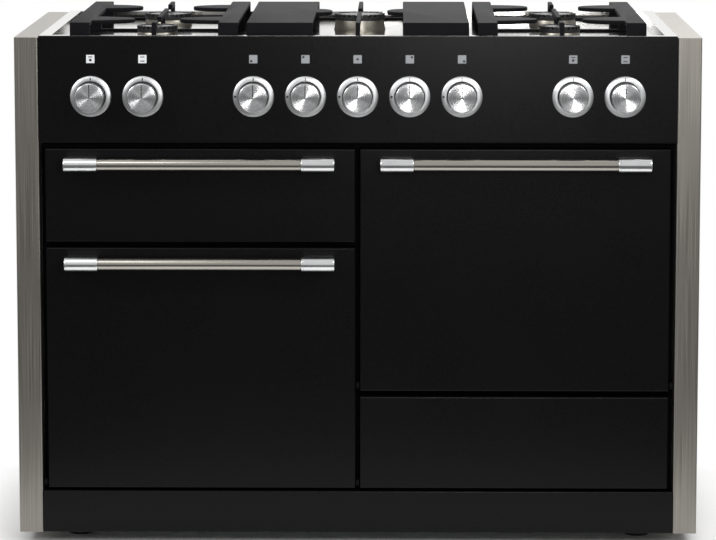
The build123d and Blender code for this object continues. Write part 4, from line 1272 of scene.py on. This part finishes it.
@dataclass
class Studio:
    """White floor, soft lamps, a plain room and the camera, in metres and degrees."""

    distance: float = 6.0  # from the control panel to the camera
    camera_x: float = 0.075
    camera_z: float = 1.390
    pitch: float = 7.45
    yaw: float = -0.71
    lens: float = 173.6  # this and the sensor's width in millimetres
    sensor: float = 36.0
    shift_y: float = -0.09
    sight: float = 60.0  # how far the camera sees
    floor_r: float = 1.05
    floor_steps: int = 96
    paper: str = "#f4f4f3"  # matt floor
    paper_roughness: float = 0.9
    paper_specular: float = 0.1
    fade: float = 0.12  # the floor's shadow ends this far from the cooker
    day: float = 0.55  # light that falls on everything
    low_room: float = 0.12  # dim studio in front of the cooker, below the horizon
    high_room: float = 0.6  # and above it
    horizon: float = 0.08  # half its soft edge, as a share of straight up
    back_wall: tuple[float, float] = (-0.25, 0.35)  # the room brightens between these shares to the rear
    ceiling: tuple[float, float] = (0.3, 0.8)  # and between these shares upwards
    near: Lamp = Lamp("softbox_near", (0.29, -2.2, 1.1), 0.45, 0.45, 10.0)  # draws wedges on the knobs
    lamps: tuple[Lamp, ...] = (
        Lamp("softbox_right", (2.6, -2.3, 3.0), 1.4, 1.4, 65.0),
        Lamp("softbox_left", (-2.7, -2.3, 2.4), 1.1, 1.1, 45.0),
        Lamp("softbox_rear", (0.6, 2.2, 2.8), 2.4, 1.2, 40.0),
        Lamp("softbox_high", (-0.65, -1.4, 1.9), 0.5, 0.5, 2.0),
    )

    def camera(self) -> None:
        """Places the camera in front of the cooker, a little above and to the right."""
        data = bpy.data.cameras.new("camera")
        data.lens = self.lens
        data.sensor_width = self.sensor
        data.shift_y = self.shift_y
        data.clip_end = self.sight
        made = linked("camera", data)
        front = measured("control_panel").low[1] * MM
        made.location = (self.camera_x, front - self.distance, self.camera_z)
        made.rotation_euler = (math.radians(90 - self.pitch), 0.0, math.radians(-self.yaw))
        bpy.context.scene.camera = made

    def flag(self, lamp: Object, pieces: Iterable[Object]) -> None:
        """Keeps the glare of a lamp off some pieces, as a flag on a stand would.

        Args:
            lamp: The lamp.
            pieces: What the flag shades.
        """
        shaded = bpy.data.collections.new("flagged")
        for made in pieces:
            shaded.objects.link(made)
        lamp.light_linking.receiver_collection = shaded
        for row in shaded.collection_objects:
            row.light_linking.link_state = "EXCLUDE"

    def world(self) -> None:
        """Sets a white background, a dimmer room in front for reflections, and plain daylight."""
        world = bpy.data.worlds.new("studio")
        bpy.context.scene.world = world
        world.use_nodes = True
        tree = world.node_tree
        sky = tree.nodes["Background"]
        sky.inputs["Color"].default_value = (1.0, 1.0, 1.0, 1.0)
        way = put(tree, "ShaderNodeTexCoord").outputs["Generated"]
        parts = put(tree, "ShaderNodeSeparateXYZ", {0: way})
        up, rear = {"Value": parts.outputs["Z"]}, {"Value": parts.outputs["Y"]}
        room = {"From Min": -self.horizon, "From Max": self.horizon}
        room |= {"To Min": self.low_room, "To Max": self.high_room}
        front = put(tree, "ShaderNodeMapRange", up, room)
        wall = dict(zip(("From Min", "From Max"), self.back_wall))
        behind = put(tree, "ShaderNodeMapRange", rear | {"To Min": front}, wall)
        high = dict(zip(("From Min", "From Max"), self.ceiling)) | {"To Max": self.high_room}
        above = put(tree, "ShaderNodeMapRange", up, high)
        shown = put(tree, "ShaderNodeMath", {0: behind, 1: above}, operation="MAXIMUM")
        path = put(tree, "ShaderNodeLightPath").outputs
        rays = {0: path["Is Glossy Ray"], 1: path["Is Transmission Ray"]}
        mirror = put(tree, "ShaderNodeMath", rays, operation="ADD", use_clamp=True)
        lit = put(tree, "ShaderNodeMix", {0: mirror, 3: shown}, {2: self.day})
        white = put(tree, "ShaderNodeMix", {0: path["Is Camera Ray"], 2: lit}, {3: 1.0})
        tree.links.new(white.outputs[0], sky.inputs["Strength"])

    def floor(self) -> None:
        """Lays a round white floor that keeps the shadow and fades into the background."""
        bm = bmesh.new()
        bmesh.ops.create_circle(bm, cap_ends=True, segments=self.floor_steps, radius=self.floor_r)
        mesh = bpy.data.meshes.new("floor")
        bm.to_mesh(mesh)
        bm.free()
        made = bpy.data.materials.new("paper_white_matt")
        made.use_nodes = True
        tree = made.node_tree
        shader = tree.nodes["Principled BSDF"]
        shader.inputs["Base Color"].default_value = linear(self.paper)
        shader.inputs["Roughness"].default_value = self.paper_roughness
        shader.inputs["Specular IOR Level"].default_value = self.paper_specular
        corner = [max(abs(low), abs(high)) for low, high in zip(*CAD_BOX)]
        place = put(tree, "ShaderNodeTexCoord").outputs["Object"]
        side = put(tree, "ShaderNodeVectorMath", {0: place}, operation="ABSOLUTE")
        past = put(tree, "ShaderNodeVectorMath", {0: side}, {1: corner}, operation="SUBTRACT")
        outside = put(tree, "ShaderNodeVectorMath", {0: past}, {1: (0.0, 0.0, 0.0)}, operation="MAXIMUM")
        far = put(tree, "ShaderNodeVectorMath", {0: outside}, operation="LENGTH").outputs["Value"]
        fade = put(tree, "ShaderNodeMapRange", {"Value": far}, {"From Max": self.fade})
        path = put(tree, "ShaderNodeLightPath").outputs
        rays = {0: path["Is Camera Ray"], 1: path["Is Glossy Ray"]}
        seen = put(tree, "ShaderNodeMath", rays, operation="ADD")
        rays = {0: seen, 1: path["Is Transmission Ray"]}
        seen = put(tree, "ShaderNodeMath", rays, operation="ADD", use_clamp=True)
        share = put(tree, "ShaderNodeMath", {0: seen, 1: fade}, operation="MULTIPLY")
        glow = put(tree, "ShaderNodeEmission", None, {"Color": (1.0, 1.0, 1.0, 1.0), "Strength": 1.0})
        mixed = put(tree, "ShaderNodeMixShader", {0: share, 1: shader, 2: glow})
        tree.links.new(mixed.outputs[0], tree.nodes["Material Output"].inputs["Surface"])
        mesh.materials.append(made)
        stage = linked("floor", mesh)

    def build(self, flagged: Iterable[Object]) -> None:
        """Sets up floor, lamps, room and camera.

        Args:
            flagged: Pieces kept out of the glare of the near lamp.
        """
        self.camera()
        self.floor()
        self.world()
        for lamp in self.lamps:
            lamp.hang()
        self.flag(self.near.hang(), flagged)
        bpy.context.scene.view_settings.view_transform = "Standard"


def main() -> None:
    """Builds each sub-assembly in turn."""
    logging.basicConfig(level=logging.INFO, format="%(message)s")
    Cabinet().dress()
    Controls().build()
    handles = Handles().build()
    Hob().build()
    OvenFittings().build()
    Rear().build()
    Studio().build(flagged=handles)


if __name__ == "__main__":
    main()
